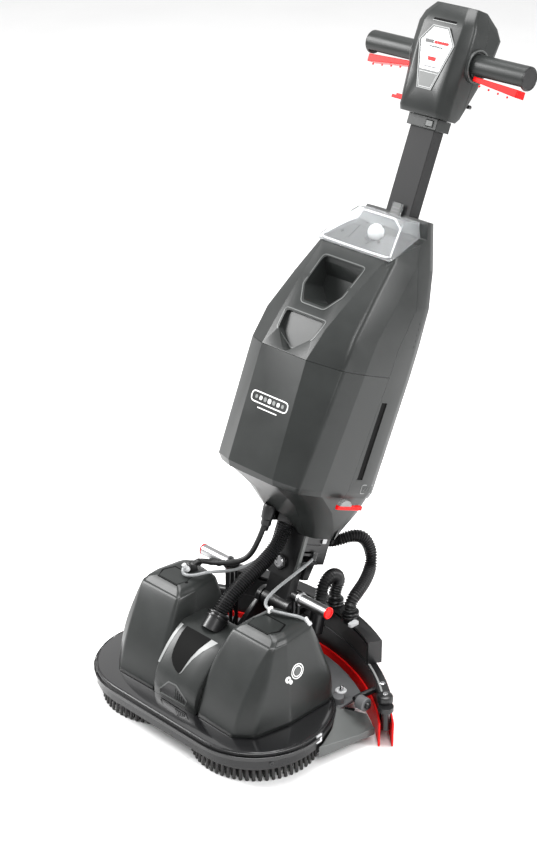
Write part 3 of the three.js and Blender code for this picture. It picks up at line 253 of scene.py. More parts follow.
def skin(name, rings, closed_ends=True, smooth_below=40):
    """A mesh through rings of equal count."""
    n = len(rings[0])
    points = [p for ring in rings for p in ring]
    faces = [(r * n + k, r * n + (k + 1) % n, (r + 1) * n + (k + 1) % n, (r + 1) * n + k)
             for r in range(len(rings) - 1) for k in range(n)]
    if closed_ends:
        faces += [tuple(range(n - 1, -1, -1)), tuple((len(rings) - 1) * n + k for k in range(n))]
    return mesh_of(name, points, faces, smooth_below)


def turned(name, start, along, profile, sides=28):
    """A turned piece: profile is [distance along, radius] in mm, from start towards along."""
    axis = Vector(along).normalized()
    across = axis.orthogonal().normalized()
    other = axis.cross(across)
    rings = [[start + (axis * d + (across * math.cos(a) + other * math.sin(a)) * max(r, 0.02)) * MM
              for a in [2 * math.pi * k / sides for k in range(sides)]] for d, r in profile]
    hollow = profile[0][1] > 1 and profile[-1][1] > 1 and start_closed(profile)
    if hollow:
        rings.append([p.copy() for p in rings[0]])
    return skin(name, rings, not hollow, smooth_below=30)


def start_closed(profile):
    """Whether a turned profile is a ring's section and not a solid's side."""
    return abs(profile[0][1] - profile[-1][1]) < 1.5 and max(r for _, r in profile) > profile[0][1] + 0.3


def slab(name, outline, low, high, place):
    """A plate of one outline [(a, b)] between c = low and c = high, where place maps (a, b, c) to a point."""
    rings = [[place(a, b, c) for a, b in outline] for c in (low, high)]
    return skin(name, rings, smooth_below=30)


def turned_piece(name, start, along, profile, sides, material, body):
    return add_mesh(name, turned(name, start, along, profile, sides), material, body)


def slab_piece(name, outline, low, high, place, material, body):
    return add_mesh(name, slab(name, outline, low, high, place), material, body)


# ------------------------------------------------------------------ hoses and cables
def corrugated(radius, pitch, depth):
    """The radius of a ribbed hose as a function of the run along it, in metres."""
    def at(run):
        return (radius - depth * (0.5 - 0.5 * math.cos(2 * math.pi * run / (pitch * MM)))) * MM
    return at


def lay_hose(name, nodes, points, radius, material, ribs=None, sides=24):
    """A hose or tube along mm points, ribbed where ribs is (pitch, depth)."""
    step = ribs[0] / 6 if ribs else radius * 0.7
    line = [deck_point(*p) for p in smooth_line(points, step)]
    size = corrugated(radius, *ribs) if ribs else radius * MM
    obj = add_mesh(name, sweep(name, line, size, sides), material, None, nodes)
    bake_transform(obj)
    return obj


FRONT_HOSE = [
    (0, 168, 274), (0, 160, 258), (0, 148, 244), (0, 132, 232), (0, 112, 222), (0, 90, 214),
    (0, 70, 205), (0, 54, 197), (0, 42, 190), (0, 33, 182), (0, 26.1, 174.3), (0, 18.8, 166.3)]
POWER_CABLE = [
    (-26, 150, 276), (-27, 142, 258), (-29, 134, 242), (-33, 128, 228), (-39, 121, 217), (-48, 113, 210),
    (-58, 104, 207), (-69, 94, 206), (-79, 84, 207), (-87, 74, 210), (-92, 64, 211), (-94, 56, 207)]
SUCTION_HOSE = [
    (20, 241.2, 223.4), (20.5, 250.3, 219.6), (24, 259, 218), (29, 267, 219), (34, 276, 221),
    (39, 286, 221), (44, 296, 217), (49, 303, 208), (54, 306, 195), (58, 305, 182), (64, 297, 170),
    (71, 283, 163), (78, 266, 158), (83, 249, 154), (86, 235, 149), (87, 227, 142), (87, 225, 136),
    (87, 225, 130.8)]
SHORT_HOSE = [
    (55, 190.5, 145), (54, 194, 157), (52, 200, 169), (50, 212, 177), (48, 226, 178), (46, 239, 170),
    (45, 243, 158), (44, 239, 146), (44, 236, 137), (44, 236, 130.8)]
RIGHT_TUBE = [
    (34, 196, 214), (38, 176, 213), (42, 154, 212), (46, 130, 211), (50, 106, 210), (55, 84, 209),
    (61, 66, 208), (70, 54, 207), (82, 50, 206), (96, 53, 206), (110, 60, 205), (122, 70, 202),
    (130, 80, 195)]
LEFT_TUBE = [
    (-94, 40, 212), (-92, 34, 208), (-87, 32, 204), (-80, 36, 203), (-72, 44, 204), (-64, 56, 206),
    (-60, 72, 203), (-56, 90, 198), (-51, 110, 195), (-46, 130, 197), (-40, 152, 202), (-37, 176, 208)]

lay_hose("front_hose_ribbed", ["front_hose"], FRONT_HOSE, 12.5,
         RUBBER, (3.9, 2.6), 32)
lay_hose("power_cable_round", ["power_cable"], POWER_CABLE, 4.5,
         RUBBER, None, 16)
lay_hose("suction_hose_ribbed", ["suction_hose"], SUCTION_HOSE, 10.5,
         RUBBER, (4.2, 2.4), 28)
lay_hose("short_hose_ribbed", ["short_hose"], SHORT_HOSE, 10.5,
         RUBBER, (4.2, 2.4), 28)
lay_hose("water_tube_right_clear", ["water_tube_right"], RIGHT_TUBE, 2.6,
         TUBE, None, 12)
lay_hose("water_tube_left_clear", ["water_tube_left"], LEFT_TUBE, 2.6,
         TUBE, None, 12)

# ------------------------------------------------------------------ carried-over pieces
SIDES = (("right", 1), ("left", -1))
BODY_OF = {n: b for b, ns in frame["record"]["behaviour"]["bodies"].items() for n in ns}
LOOKS = {
    "deck_base": (SKIRT_BLACK, 1.2), "skirt_bead": (BEAD, 0),
    "hose_socket": (BLACK, 0.8),
    "rear_shroud": (PALE, 1.0), "side_flap_right": (GREY_LIGHT, 0.8), "side_flap_left": (GREY_LIGHT, 0.8),
    "pivot_bracket": (BLACK, 0.8), "tilt_pin": (STEEL, 0.6), "hose_elbow": (BLACK, 0.4),
    "brush_disc_right": (BLACK, 0.6), "brush_disc_left": (BLACK, 0.6),
    "brush_motor_right": (STEEL, 0.8), "brush_motor_left": (STEEL, 0.8),
    "peg_post_right": (BLACK, 0.5), "peg_post_left": (BLACK, 0.5),
    "squeegee_arm": (BLACK, 0.8), "squeegee_body": (BLACK, 1.6), "suction_shell": (BLACK, 1.6),
    "squeegee_blade_front": (RED_RUBBER, 0.4), "squeegee_blade_rear": (RED_RUBBER, 0.4),
    "squeegee_roller_right": (PALE, 1.0), "squeegee_roller_left": (PALE, 1.0),
    "foot_peg_right": (PLATED, 0.8), "foot_peg_left": (PLATED, 0.8),
    "knuckle": (BLACK, 1.0), "swivel_bolt": (STEEL, 0.8), "neck": (BLACK, 1.0),
    "chin_cradle": (GREY, 1.4), "rear_shell": (GREY, 1.4), "side_gauge": (LINE_BLACK, 0.5),
    "vac_motor": (STEEL, 0.8), "water_pump": (BLACK, 0.8), "battery_pack": (BLACK, 1.5),
    "clean_tank": (GREY, 1.6), "recovery_tank": (GREY, 1.6), "lid": (CLEAR, 1.2),
    "float_ball": (WHITE, 0), "tank_latch": (RED, 0.8), "stem": (STEM_PAINT, 1.5),
    "stem_collar": (GREY, 1.0), "collar_button": (GREY_LIGHT, 0.6), "head_front": (GREY, 1.6),
    "head_rear": (GREY, 1.4), "label_plate": (GREY_LIGHT, 0.4), "grip_right": (GREY, 1.2),
    "grip_left": (GREY, 1.2), "trigger_right": (RED, 1.0), "trigger_left": (RED, 1.0),
    "head_lever": (RED, 0.8),
}
shells = {node: refined(node, BODY_OF[node], look, width) for node, (look, width) in LOOKS.items()}

# ------------------------------------------------------------------ cowls
DECK_TOP = 57.3
COWL_WALL = 3


def rounded(corners, steps=8):
    """Points round a polygon of [x, y, radius] corners."""
    points = []
    for i, (x, y, radius) in enumerate(corners):
        here = Vector((x, y))
        before = (Vector(corners[i - 1][:2]) - here).normalized()
        after = (Vector(corners[(i + 1) % len(corners)][:2]) - here).normalized()
        half = math.acos(max(-1, min(1, before.dot(after)))) / 2
        reach = radius / math.tan(half)
        for k in range(steps + 1):
            t = k / steps
            points.append((here + before * reach) * (1 - t) ** 2 + here * 2 * t * (1 - t)
                          + (here + after * reach) * t * t)
    return points


def between_levels(levels, substeps):
    """Rings of [height, values] with Catmull-Rom rings added between them."""
    rows = [[z] + [c for corner in corners for c in corner] for z, corners in levels]
    rows = [rows[0]] + rows + [rows[-1]]
    out = []
    for i in range(1, len(rows) - 2):
        a, b, c, d = rows[i - 1:i + 3]
        for k in range(substeps):
            t = k / substeps
            out.append([0.5 * (2 * q + (r - p) * t + (2 * p - 5 * q + 4 * r - w) * t * t
                               + (3 * q - p - 3 * r + w) * t ** 3) for p, q, r, w in zip(a, b, c, d)])
    out.append(rows[-1])
    return [(row[0], [row[k:k + 3] for k in range(1, len(row), 3)]) for row in out]


# Each level is its height over the deck and the [x, y, corner radius] of its outline.
COWL_LEVELS = [
    (0, [(44, -71, 10), (128, -73, 12), (152, -52, 18), (165, 12, 30),
         (163, 127, 30), (46, 94, 16), (39, 20, 20)]),
    (35, [(44, -60, 10), (129, -62, 12), (153, -44, 18), (164, 12, 30),
          (161, 125, 30), (47, 93, 16), (40, 20, 20)]),
    (68, [(46, -46, 10), (131, -47, 12), (153, -34, 18), (161, 14, 30),
          (156, 115, 30), (52, 90, 16), (43, 20, 20)]),
    (103, [(52, -26, 9), (134, -27, 11), (149, -19, 16), (154, 16, 28),
           (149, 103, 28), (57, 86, 14), (50, 24, 18)]),
    (127, [(58.5, -9, 6), (139, -10, 7), (145, -5, 8), (148, 20, 22),
           (142, 93, 24), (63, 82, 12), (57.5, 28, 14)]),
    (131, [(62, -4, 6), (138, -4, 6), (143, 0, 7), (146, 22, 20),
           (139, 90, 22), (65, 80, 12), (60, 28, 14)]),
    (137, [(68, 3, 6), (134, 3, 6), (139, 7, 7), (141, 26, 18),
           (133, 82, 20), (69, 74, 12), (66, 30, 12)]),
    (141, [(76, 9, 5), (124, 9, 5), (128, 16, 6), (131, 30, 14),
           (123, 66, 14), (81, 62, 10), (75, 30, 10)])]


def cowl(side, sign):
    """One motor cover: a smooth shell through its levels with a slightly crowned top."""
    rings = [[deck_point(sign * q.x, q.y, DECK_TOP + z) for q in rounded(corners)]
             for z, corners in between_levels(COWL_LEVELS, 4)]
    crown = rings[-1]
    middle = sum(crown, Vector()) / len(crown)
    for share in (0.9, 0.5):
        rings.append([middle.lerp(q, share) + Vector((0, 0, (1 - share) * 0.0006)) for q in crown])
    n = len(crown)
    points = [q for ring in rings for q in ring]
    faces = [(r * n + k, r * n + (k + 1) % n, (r + 1) * n + (k + 1) % n, (r + 1) * n + k)
             for r in range(len(rings) - 1) for k in range(n)]
    faces.append(tuple((len(rings) - 1) * n + k for k in range(n)))
    obj = add_mesh("cowl_" + side, mesh_of("cowl_" + side, points, faces, 60), GREY, "deck",
                   ("motor_cowl_" + side,))
    wall = obj.modifiers.new("wall", "SOLIDIFY")
    wall.thickness = COWL_WALL * MM
    wall.offset = -1
    return obj


cowls = {side: cowl(side, sign) for side, sign in SIDES}

CENTRE_PROFILE = smooth_line([
    (-73.5, DECK_TOP, 0), (-73.5, 72, 0), (-70.5, 88, 0), (-62, 105, 0), (-42, 130, 0), (-22, 148, 0),
    (-6, 155, 0), (14, 156, 0), (34, 155.5, 0), (46, 148, 0), (50, 120, 0), (52, DECK_TOP, 0)], 3)


def centre_at(x, z):
    """Point and outward direction on the centre cowl's front face."""
    for p, q in zip(CENTRE_PROFILE, CENTRE_PROFILE[1:]):
        if p.y <= z <= q.y:
            y = p.x + (q.x - p.x) * (z - p.y) / max(q.y - p.y, 1e-6)
            return deck_point(x, y, z), Vector((0, -(q.y - p.y), q.x - p.x)).normalized()
    raise ValueError(z)


def centre_cowl():
    """The low cover between the motors, its ends rounded over."""
    rings = []
    for x in (-1, -0.985, -0.95, -0.5, 0, 0.5, 0.95, 0.985, 1):
        inset = {1: 1.6, 0.985: 0.5}.get(abs(x), 0)
        ring = []
        for q in CENTRE_PROFILE:
            lean = Vector((q.x - (-8), q.y - 100)).normalized() * inset
            half = 46 + 5.5 * max(0, (q.y - 100) / 56)
            ring.append(deck_point(x * half, q.x - lean.x, max(q.y - lean.y, DECK_TOP)))
        rings.append(ring)
    return skin("centre_cowl_smooth", rings, smooth_below=50)


centre = add_mesh("centre_cowl_smooth", centre_cowl(), GREY, "deck", ("centre_cowl",))


# ------------------------------------------------------------------ inlays that follow a surface
def caster(obj, to_ray):
    """place(u, v) that drops a ray on obj: to_ray gives its start and direction."""
    mesh = obj.data
    corners = [v.co.copy() for v in mesh.vertices]
    tree = BVHTree.FromPolygons(corners, [p.vertices[:] for p in mesh.polygons])

    def place(u, v):
        start, way = to_ray(u, v)
        point, normal, _, _ = tree.ray_cast(start, way)
        if point is None:
            raise ValueError((obj.name, u, v))
        return point, normal if normal.dot(way) < 0 else -normal
    return place


def flat(origin, across, along, out):
    """place(u, v) on a plane."""
    def place(u, v):
        return origin + (across * u + along * v) * MM, out
    return place


def inlay(name, pairs, place, body, material, lift=0.35, closed=False, sink=0.5):
    """A thin plate on a surface, given as pairs of facing edge points."""
    rings = []
    for a, b in pairs:
        (pa, na), (pb, nb) = place(*a), place(*b)
        rings.append([pa + na * lift * MM, pb + nb * lift * MM, pb - nb * sink * MM, pa - na * sink * MM])
    if closed:
        rings.append([p.copy() for p in rings[0]])
    mesh = skin(name, rings, not closed, 20)
    return add_mesh(name, mesh, material, body)


def band(points, width, closed=False):
    """Pairs of edge points along a line, width wide."""
    pts = [Vector(p) for p in points]
    pairs = []
    for i, p in enumerate(pts):
        before = pts[i - 1] if i or closed else p
        after = pts[(i + 1) % len(pts)] if i + 1 < len(pts) or closed else p
        way = (after - before).normalized()
        side = Vector((-way.y, way.x)) * width / 2
        pairs.append((tuple(p + side), tuple(p - side)))
    return pairs


def loop(corners, steps=3):
    """A polygon with rounded corners as plain pairs."""
    return [tuple(p) for p in rounded(corners, steps)]


def span(outline, rows=8):
    """Pairs across a convex outline, from its lowest v to its highest."""
    low, high = min(v for _, v in outline), max(v for _, v in outline)
    levels = sorted({v for _, v in outline} | {low + (high - low) * k / rows for k in range(rows + 1)})
    pairs = []
    for v in levels:
        us = []
        for (u0, v0), (u1, v1) in zip(outline, outline[1:] + outline[:1]):
            if min(v0, v1) - 1e-9 <= v <= max(v0, v1) + 1e-9:
                us.extend([u0, u1] if abs(v1 - v0) < 1e-9 else [u0 + (u1 - u0) * (v - v0) / (v1 - v0)])
        if us and max(us) - min(us) > 1e-6:
            pairs.append(((min(us), v), (max(us), v)))
    return pairs


def ring_points(cu, cv, radius, n=28, squash=1.0):
    """Points round a circle, or round an ellipse where squash isn't 1."""
    turns = [2 * math.pi * k / n for k in range(n)]
    return [(cu + radius * math.cos(a), cv + squash * radius * math.sin(a)) for a in turns]


PAD = [(78, 8.5), (121, 8.5), (128, 25), (121, 44), (80, 44), (73.5, 25)]
PAD_INSIDE = [(100 + (u - 100) * 0.93, 26 + (v - 26) * 0.93) for u, v in PAD]
EMBLEM = (33, 139)
for side, sign in SIDES:
    on_top = caster(cowls[side], lambda u, v, k=sign: (deck_point(k * u, v, 260), -UP))
    inlay("pad_gap_" + side, band(PAD, 3.0, True), on_top, "deck", LINE_BLACK, 0.3, True)
    inlay("pad_top_" + side, span(PAD_INSIDE), on_top, "deck", GREY, 0.5)
    flank = caster(cowls[side], lambda u, v, k=sign: (deck_point(k * 240, u, v), Vector((-k, 0, 0))))
    for part, radius in (("outer", 12.5), ("inner", 8.8)):
        circle = band(ring_points(*EMBLEM, radius, 32, 0.86), 1.5, True)
        inlay(f"emblem_{part}_{side}", circle, flank, "deck", WHITE, 0.25, True, 0.3)
    for k, (u, v, w) in enumerate([(12, 134, 5.2), (16.5, 128.5, 3.4), (*EMBLEM, 6.2)]):
        inlay(f"emblem_spot_{k}_{side}", span(ring_points(u, v, w, 16)), flank, "deck",
              WHITE if k < 2 else GREY_LIGHT, 0.25, False, 0.3)

# The centre cowl's channel, drawn as a flat black inlay that paints the shade inside it: (height, x) down
# each of its edges.
LEFT_EDGE = [(153, -33), (147, -33), (140, -32), (128, -30), (118, -26), (111, -17), (107, -8), (105.5, -2)]
RIGHT_EDGE = [(153, 21), (147, 17), (140, 12), (128, 7), (118, 4.5), (111, 3), (107, 1.5), (105.5, 0)]
CHANNEL_SHADE = [((left, z), (right, z)) for (z, left), (_, right) in zip(LEFT_EDGE, RIGHT_EDGE)]
inlay("channel_shade_patch", CHANNEL_SHADE, centre_at, "deck", LINE_BLACK, 1.2)
# Pale strips beside the channel paint the highlight on its rounded rims.
RIM_HIGHLIGHT_X = -47
for name, sign in SIDES:
    if sign > 0:
        strip = [((u, z), (u + 1.5 + 13 * ((z - 100) / 53) ** 2, z)) for z, u in RIGHT_EDGE]
    else:
        strip = [((RIM_HIGHLIGHT_X, z), (RIM_HIGHLIGHT_X + 3.5 + 2.5 * (z - 100) / 53, z)) for z, _ in LEFT_EDGE]
    inlay("channel_rim_highlight_" + name, strip, centre_at, "deck", EDGE_GREY, 0.5)

badge = [(-30, 63), (-31, 70), (-14, 88), (3, 89), (29, 74), (25, 65)]
inlay("badge_edge", band(badge, 2.0, True), centre_at, "deck", GREY_LIGHT, 0.9, True)
badge_inside = [(u * 0.94, 76 + (v - 76) * 0.9) for u, v in badge]
inlay("badge_face", span(badge_inside), centre_at, "deck", BLACK, 0.35)
for k in range(5):
    u = 2.5 + 4.6 * k
    inlay(f"badge_rib_{k}", band([(u, 67), (u + 0.5, 84 - 2.4 * k)], 1.8), centre_at, "deck", GREY, 1.3)

# ------------------------------------------------------------------ brushes
TUFT_ROWS = ((96.5, 62), (88.5, 56), (80.0, 50), (72.5, 46))     # row radius and tufts in the row
# A tuft's rings: height, lean outwards, half width across and along the brush's radius.
TUFT_RINGS = ((22, -1.2, 2.3, 2.0), (11, 0, 2.5, 2.1), (1.2, 1.2, 2.9, 2.2), (0.2, 1.2, 2.6, 1.9))
TUFT_SIDES = 8


def brush(side, sign):
    """The tufts of one brush and the plate that holds them."""
    centre_x = sign * BRUSH_X
    points, faces = [], []
    for radius, count in TUFT_ROWS:
        for k in range(count):
            angle = 2 * math.pi * (k + 0.5 * (radius < 90)) / count
            way = Vector((math.cos(angle), math.sin(angle)))
            across = Vector((-way.y, way.x))
            base = len(points)
            for z, out, half, deep in TUFT_RINGS:
                for c in range(TUFT_SIDES):
                    a = 2 * math.pi * c / TUFT_SIDES
                    q = way * (radius + out + deep * math.cos(a)) + across * half * math.sin(a)
                    points.append(deck_point(centre_x + q.x, q.y, z))
            for r in range(len(TUFT_RINGS) - 1):
                low, high = base + r * TUFT_SIDES, base + (r + 1) * TUFT_SIDES
                for c in range(TUFT_SIDES):
                    d = (c + 1) % TUFT_SIDES
                    faces.append((low + c, low + d, high + d, high + c))
            faces.append(tuple(base + c for c in range(TUFT_SIDES)))
            faces.append(tuple(high + c for c in range(TUFT_SIDES)))
    add_mesh("tufts_" + side, mesh_of("tufts_" + side, points, faces, 50), BRISTLE, "brush_" + side,
             ("brush_bristles_" + side,))
    turned_piece("tuft_plate_" + side, deck_point(centre_x, 0, 19.5), UP,
                 [(0, 67), (0, 98.5), (1.5, 99.8), (7, 99.8), (8.2, 98.6), (8.2, 67)], 72,
                 BLACK, "brush_" + side)


for side, sign in SIDES:
    brush(side, sign)

# ------------------------------------------------------------------ deck hardware
SOCKET_LEAN = math.radians(42)
SOCKET_WAY = Vector((0, math.sin(SOCKET_LEAN), math.cos(SOCKET_LEAN)))
SOCKET_FOOT = deck_point(0, 6, 152)
for k, (rise, radius) in enumerate(((27.4, 17.2), (21.5, 17.4))):
    rows = [(-1.3, 13.2), (-1.3, radius), (-0.6, radius + 1.2),
            (0.6, radius + 1.2), (1.3, radius), (1.3, 13.2)]
    turned_piece(f"socket_ring_{k}", SOCKET_FOOT + SOCKET_WAY * rise * MM, SOCKET_WAY, rows, 36,
                 BLACK, "deck")
PEG_ROOT, PEG_END, PEG_Y, PEG_Z = 76.5, 136, 121, 192
SHROUD_BOSS = (151, 137)
for side, sign in SIDES:
    turned_piece("peg_cap_" + side, deck_point(sign * PEG_END, PEG_Y, PEG_Z), (sign, 0, 0),
                 [(-2, 8.0), (0.2, 9.4), (1.8, 9.4), (2.6, 8.6), (2.6, 6.4), (1.9, 6.0), (1.9, 0)], 32,
                 RED, "deck")
    turned_piece("peg_collar_" + side, deck_point(sign * PEG_ROOT, PEG_Y, PEG_Z), (sign, 0, 0),
                 [(0, 8), (0, 10.4), (1, 11), (4, 11), (5, 10.2), (5, 8)], 28, PLATED, "deck")
    turned_piece("skirt_screw_" + side, deck_point(sign * 194.0, -58.0, 37.5), (sign * 0.845, -0.535, 0),
                 [(-2.5, 3.4), (0.6, 3.4), (1.2, 2.8), (1.2, 1.5), (0.4, 1.2), (0.4, 0)], 20, BLACK, "deck")
    turned_piece("shroud_boss_" + side, deck_point(sign * SHROUD_BOSS[0], SHROUD_BOSS[1], 50.5), UP,
                 [(0, 9), (1.5, 9), (2.3, 8.2), (2.3, 5.4), (0.8, 5.0), (0.8, 0)], 28, PALE_RIM, "deck")
    turned_piece("shroud_pin_" + side, deck_point(sign * SHROUD_BOSS[0], SHROUD_BOSS[1], 51), (0, 0.35, 0.94),
                 [(0, 2.8), (7, 2.8), (8, 2.0), (8, 0)], 16, STEEL, "deck")

# Rings round the power cable near the left motor: x, y, z, radius and direction.
CABLE_RINGS = ((-96, 50, 206.5, 6.4, (-0.5, -0.8, 0.2)), (-90, 66, 210.5, 6.0, (0.5, -0.8, 0.1)),
               (-82, 86, 206, 6.2, (0.7, -0.7, 0)), (-72, 93, 205.5, 6.0, (0.8, -0.6, 0)))
for k, (x, y, z, r, way) in enumerate(CABLE_RINGS):
    rows = [(-2, 4.2), (-2, r - 0.6), (-1.4, r), (1.4, r), (2, r - 0.6), (2, 4.2)]
    turned_piece(f"cable_ring_{k}", deck_point(x, y, z), way, rows, 24, RUBBER, "deck")
MOTOR_PLUG = (-97, 58, 196)
turned_piece("motor_plug", deck_point(*MOTOR_PLUG), UP,
             [(0, 9), (6, 9.5), (11, 9), (14.5, 7), (16, 4), (16.2, 0)], 28, RUBBER, "deck")
TIE_X, TIE_Y, TIE_Z = 84, 50, 206
slab_piece("tube_tie", loop([(-2, -4.5, 1), (2, -4.5, 1), (2, 4.5, 1), (-2, 4.5, 1)]), -3.8, 3.8,
           lambda a, b, c: deck_point(TIE_X + a, TIE_Y + c, TIE_Z + b), WHITE, "deck")


REAR_REACH = 20                    # how much further the deck runs behind the brushes than in front


def deck_ring(radius, steps=28):
    """The deck's outline: two half circles, the rear one stretched back."""
    points = []
    for x, start in ((BRUSH_X, -90), (-BRUSH_X, 90)):
        for i in range(steps + 1):
            angle = math.radians(start + 180 * i / steps)
            rise = math.sin(angle)
            reach = radius + REAR_REACH if rise > 0 else radius
            points.append((x + radius * math.cos(angle), rise * reach))
    return points


gloss_rings = [[deck_point(x, y, z) for x, y in deck_ring(radius)]
               for z, radius in ((56.9, 104.9), (57.12, 104.9), (57.2, 104.4), (57.2, 60), (57.2, 20))]
add_mesh("flange_gloss", skin("flange_gloss", gloss_rings, smooth_below=30), GLOSS_BLACK, "deck")
LINE_RADIUS = 0.75
for name, radius, z in (("bead_line", 111.7, 50.1), ("rim_line", 108.3, 55.4)):
    line = [deck_point(x, y, z) for x, y in deck_ring(radius)]
    rings = []
    for i, q in enumerate(line):
        way = (line[(i + 1) % len(line)] - line[i - 1]).normalized()
        side = Vector((way.y, -way.x, 0))
        rings.append([q + (side * math.cos(a) + Vector((0, 0, math.sin(a)))) * LINE_RADIUS * MM
                      for a in [2 * math.pi * k / 8 for k in range(8)]])
    rings.append([q.copy() for q in rings[0]])
    add_mesh(name, skin(name, rings, False), BEAD, "deck")

# Ends of the cable and of the water tubes.
GLAND = [(-9, 4.4), (-9, 6.0), (-2, 6.6), (0, 8.4), (9, 8.4), (11, 10.2), (30, 10.8), (34, 9), (34, 0)]
NIPPLE = [(-4, 2.4), (-4, 4.2), (5, 4.6), (6, 5.6), (10, 5.6), (10, 0)]
TUBE_END = [(-4, 2.4), (-4, 3.6), (5, 4.0), (5, 5.2), (9, 5.2), (9, 0)]
turned_piece("cable_gland", deck_point(-26, 150, 270), (0.05, 0.28, 1.0), GLAND, 24, RUBBER, "column")
turned_piece("tube_end_column", deck_point(*RIGHT_TUBE[0]), (-0.3, 0.5, 0.8), NIPPLE, 24, BLACK, "column")
for side, spot, way in (("right", RIGHT_TUBE[-1], (0.5, 0.2, -0.9)),
                        ("left", LEFT_TUBE[0], (0.2, 0.4, -0.9))):
    turned_piece("tube_end_" + side, deck_point(*spot), way, TUBE_END, 20, PALE_RIM, "deck")

# ------------------------------------------------------------------ squeegee hardware
ARC_Y = -124                       # centre of the squeegee's arc
NUT_ARC, CAP_ARC = 358, 357        # arcs that the rail's nuts and the end caps stand on
SHELL_HALF_ANGLE = 26.5
END_ANGLE = math.radians(41.0)


def arc_slab(name, inner, outer, half_angle, low, high, material, body, steps=40):
    """A bar of rectangular section that follows the squeegee's arc."""
    rings = []
    for i in range(steps + 1):
        a = math.radians(-half_angle + 2 * half_angle * i / steps)
        rings.append([deck_point(r * math.sin(a), ARC_Y + r * math.cos(a), z)
                      for r, z in ((inner, low), (outer, low), (outer, high), (inner, high))])
    return add_mesh(name, skin(name, rings, smooth_below=25), material, body)


arc_slab("shell_lip", 352, 372, SHELL_HALF_ANGLE, 78.3, 80.3, BLACK, "squeegee")
arc_slab("shell_front", 350, 352.5, SHELL_HALF_ANGLE, 78.3, 112, BLACK, "squeegee")
arc_slab("squeegee_rail", 351.5, 354.5, 40, 78, 79.6, EDGE_GREY, "squeegee")
arc_slab("squeegee_strap", 365.6, 366.8, 41, 44, 49, PALE_RIM, "squeegee")
NUT = [(0, 4.6), (1.6, 4.6), (2.6, 3.6), (2.6, 1.6), (1.8, 1.4), (1.8, 0)]
for k in range(9):
    a = math.radians(-36 + 9 * k)
    spot = deck_point(NUT_ARC * math.sin(a), ARC_Y + NUT_ARC * math.cos(a), 78)
    if abs(a) > math.radians(SHELL_HALF_ANGLE + 1):
        turned_piece(f"rail_nut_{k}", spot, UP, NUT, 6, STEEL, "squeegee")
for side, sign in SIDES:
    x, y = CAP_ARC * math.sin(END_ANGLE), ARC_Y + CAP_ARC * math.cos(END_ANGLE)
    turned_piece("end_cap_" + side, deck_point(sign * x, y, 68), UP,
                 [(0, 12.4), (8, 12.4), (11, 11), (12.4, 8), (12.6, 0)], 32, BLACK, "squeegee")
    turned_piece("end_bolt_" + side, deck_point(sign * x, y, 80), UP,
                 [(0, 4.2), (1.5, 4.2), (2.2, 3.4), (2.2, 1.5), (1.5, 1.3), (1.5, 0)], 24,
                 PLATED, "squeegee")
    turned_piece("wheel_cap_" + side, deck_point(sign * 216.3, 124, 62), (sign, 0, 0),
                 [(0, 5.5), (3, 5.5), (5, 4.5), (5.6, 2), (5.6, 0)], 24, BLACK, "roller_" + side)
    slab_piece("shell_lever_" + side, loop([(-4, -9, 3), (4, -9, 3), (5, 9, 3), (-5, 9, 3)]), 118.2, 123,
               lambda u, v, w, k=sign: deck_point(k * (108 + u), 210 + v, w), PALE_RIM, "squeegee")
    outline = loop([(-9, -2, 1.5), (9, -2, 1.5), (9, 2, 1.5), (-9, 2, 1.5)])
    slab_piece("flap_slot_" + side, outline, 49.4, 50.5,
               lambda u, v, w, k=sign: deck_point(k * (193 + u * 0.8 + v * 0.5), 112 + u * 0.4 - v, w),
               LINE_BLACK, "deck")
    slab_piece("flap_clip_" + side, loop([(-3.5, -6, 2), (3.5, -6, 2), (3.5, 6, 2), (-3.5, 6, 2)]), 40, 53,
               lambda u, v, w, k=sign: deck_point(k * (207 + u), 27 + v, w), PALE_RIM, "deck")
for name, x, y, z, r in (("elbow_nut", 55, 190, 138, 14.6), ("elbow_cuff", 55.5, 189, 128, 14.2)):
    rows = [(-3.5, r - 2.6), (-3.5, r - 0.6), (-2.6, r), (2.6, r), (3.5, r - 0.6), (3.5, r - 2.6)]
    add_mesh(name, turned(name, deck_point(x, y, z), (0, 0.3, 1), rows, 14), BLACK, "deck")
for k, (x, y) in enumerate(((44, 236), (87, 225))):
    for j in (0, 1):
        turned_piece(f"port_cuff_{k}_{j}", deck_point(x, y, 121 + 6 * j), UP,
                     [(-2, 11), (-2, 14.2), (-1.2, 14.8), (1.2, 14.8), (2, 14.2), (2, 11)], 28,
                     BLACK, "squeegee")

# ------------------------------------------------------------------ neck
NECK_RIB = loop([(-14, -2, 1), (30, -4, 1), (30, 0, 1), (-14, 2, 1)])
for side, sign in SIDES:
    for k, z in enumerate((78, 92, 106, 120)):
        slab_piece(f"neck_rib_{side}_{k}", NECK_RIB, 29.5, 32,
                   lambda u, v, w, m=sign, h=z: column_point(m * w, u, h + v), BLACK, "column")
slab_piece("neck_bar", loop([(-19.5, 62, 2), (-13, 62, 2), (-13, 182, 2), (-19.5, 182, 2)]), 28, 34,
           lambda u, v, w: column_point(w, u, v), GREY_LIGHT, "column")
for k, (r0, r1, depth) in enumerate(((10.5, 13.5, 2.0), (5.5, 8.5, 3.2))):
    ahead = column_point(0, -1, 0) - column_point(0, 0, 0)
    rows = [(0, r0), (0, r1), (depth - 0.6, r1), (depth, r1 - 0.6), (depth, r0)]
    turned_piece(f"bolt_ring_{k}", column_point(0, -23.5, 68), ahead, rows, 24 if k else 6,
                 PLATED if k else BLACK, "column")
slab_piece("hose_clip", loop([(8, 150, 2), (18, 150, 2), (18, 176, 2), (8, 176, 2)]), 30.6, 33,
           lambda u, v, w: column_point(w, u + 18, v - 40), PLATED, "column")

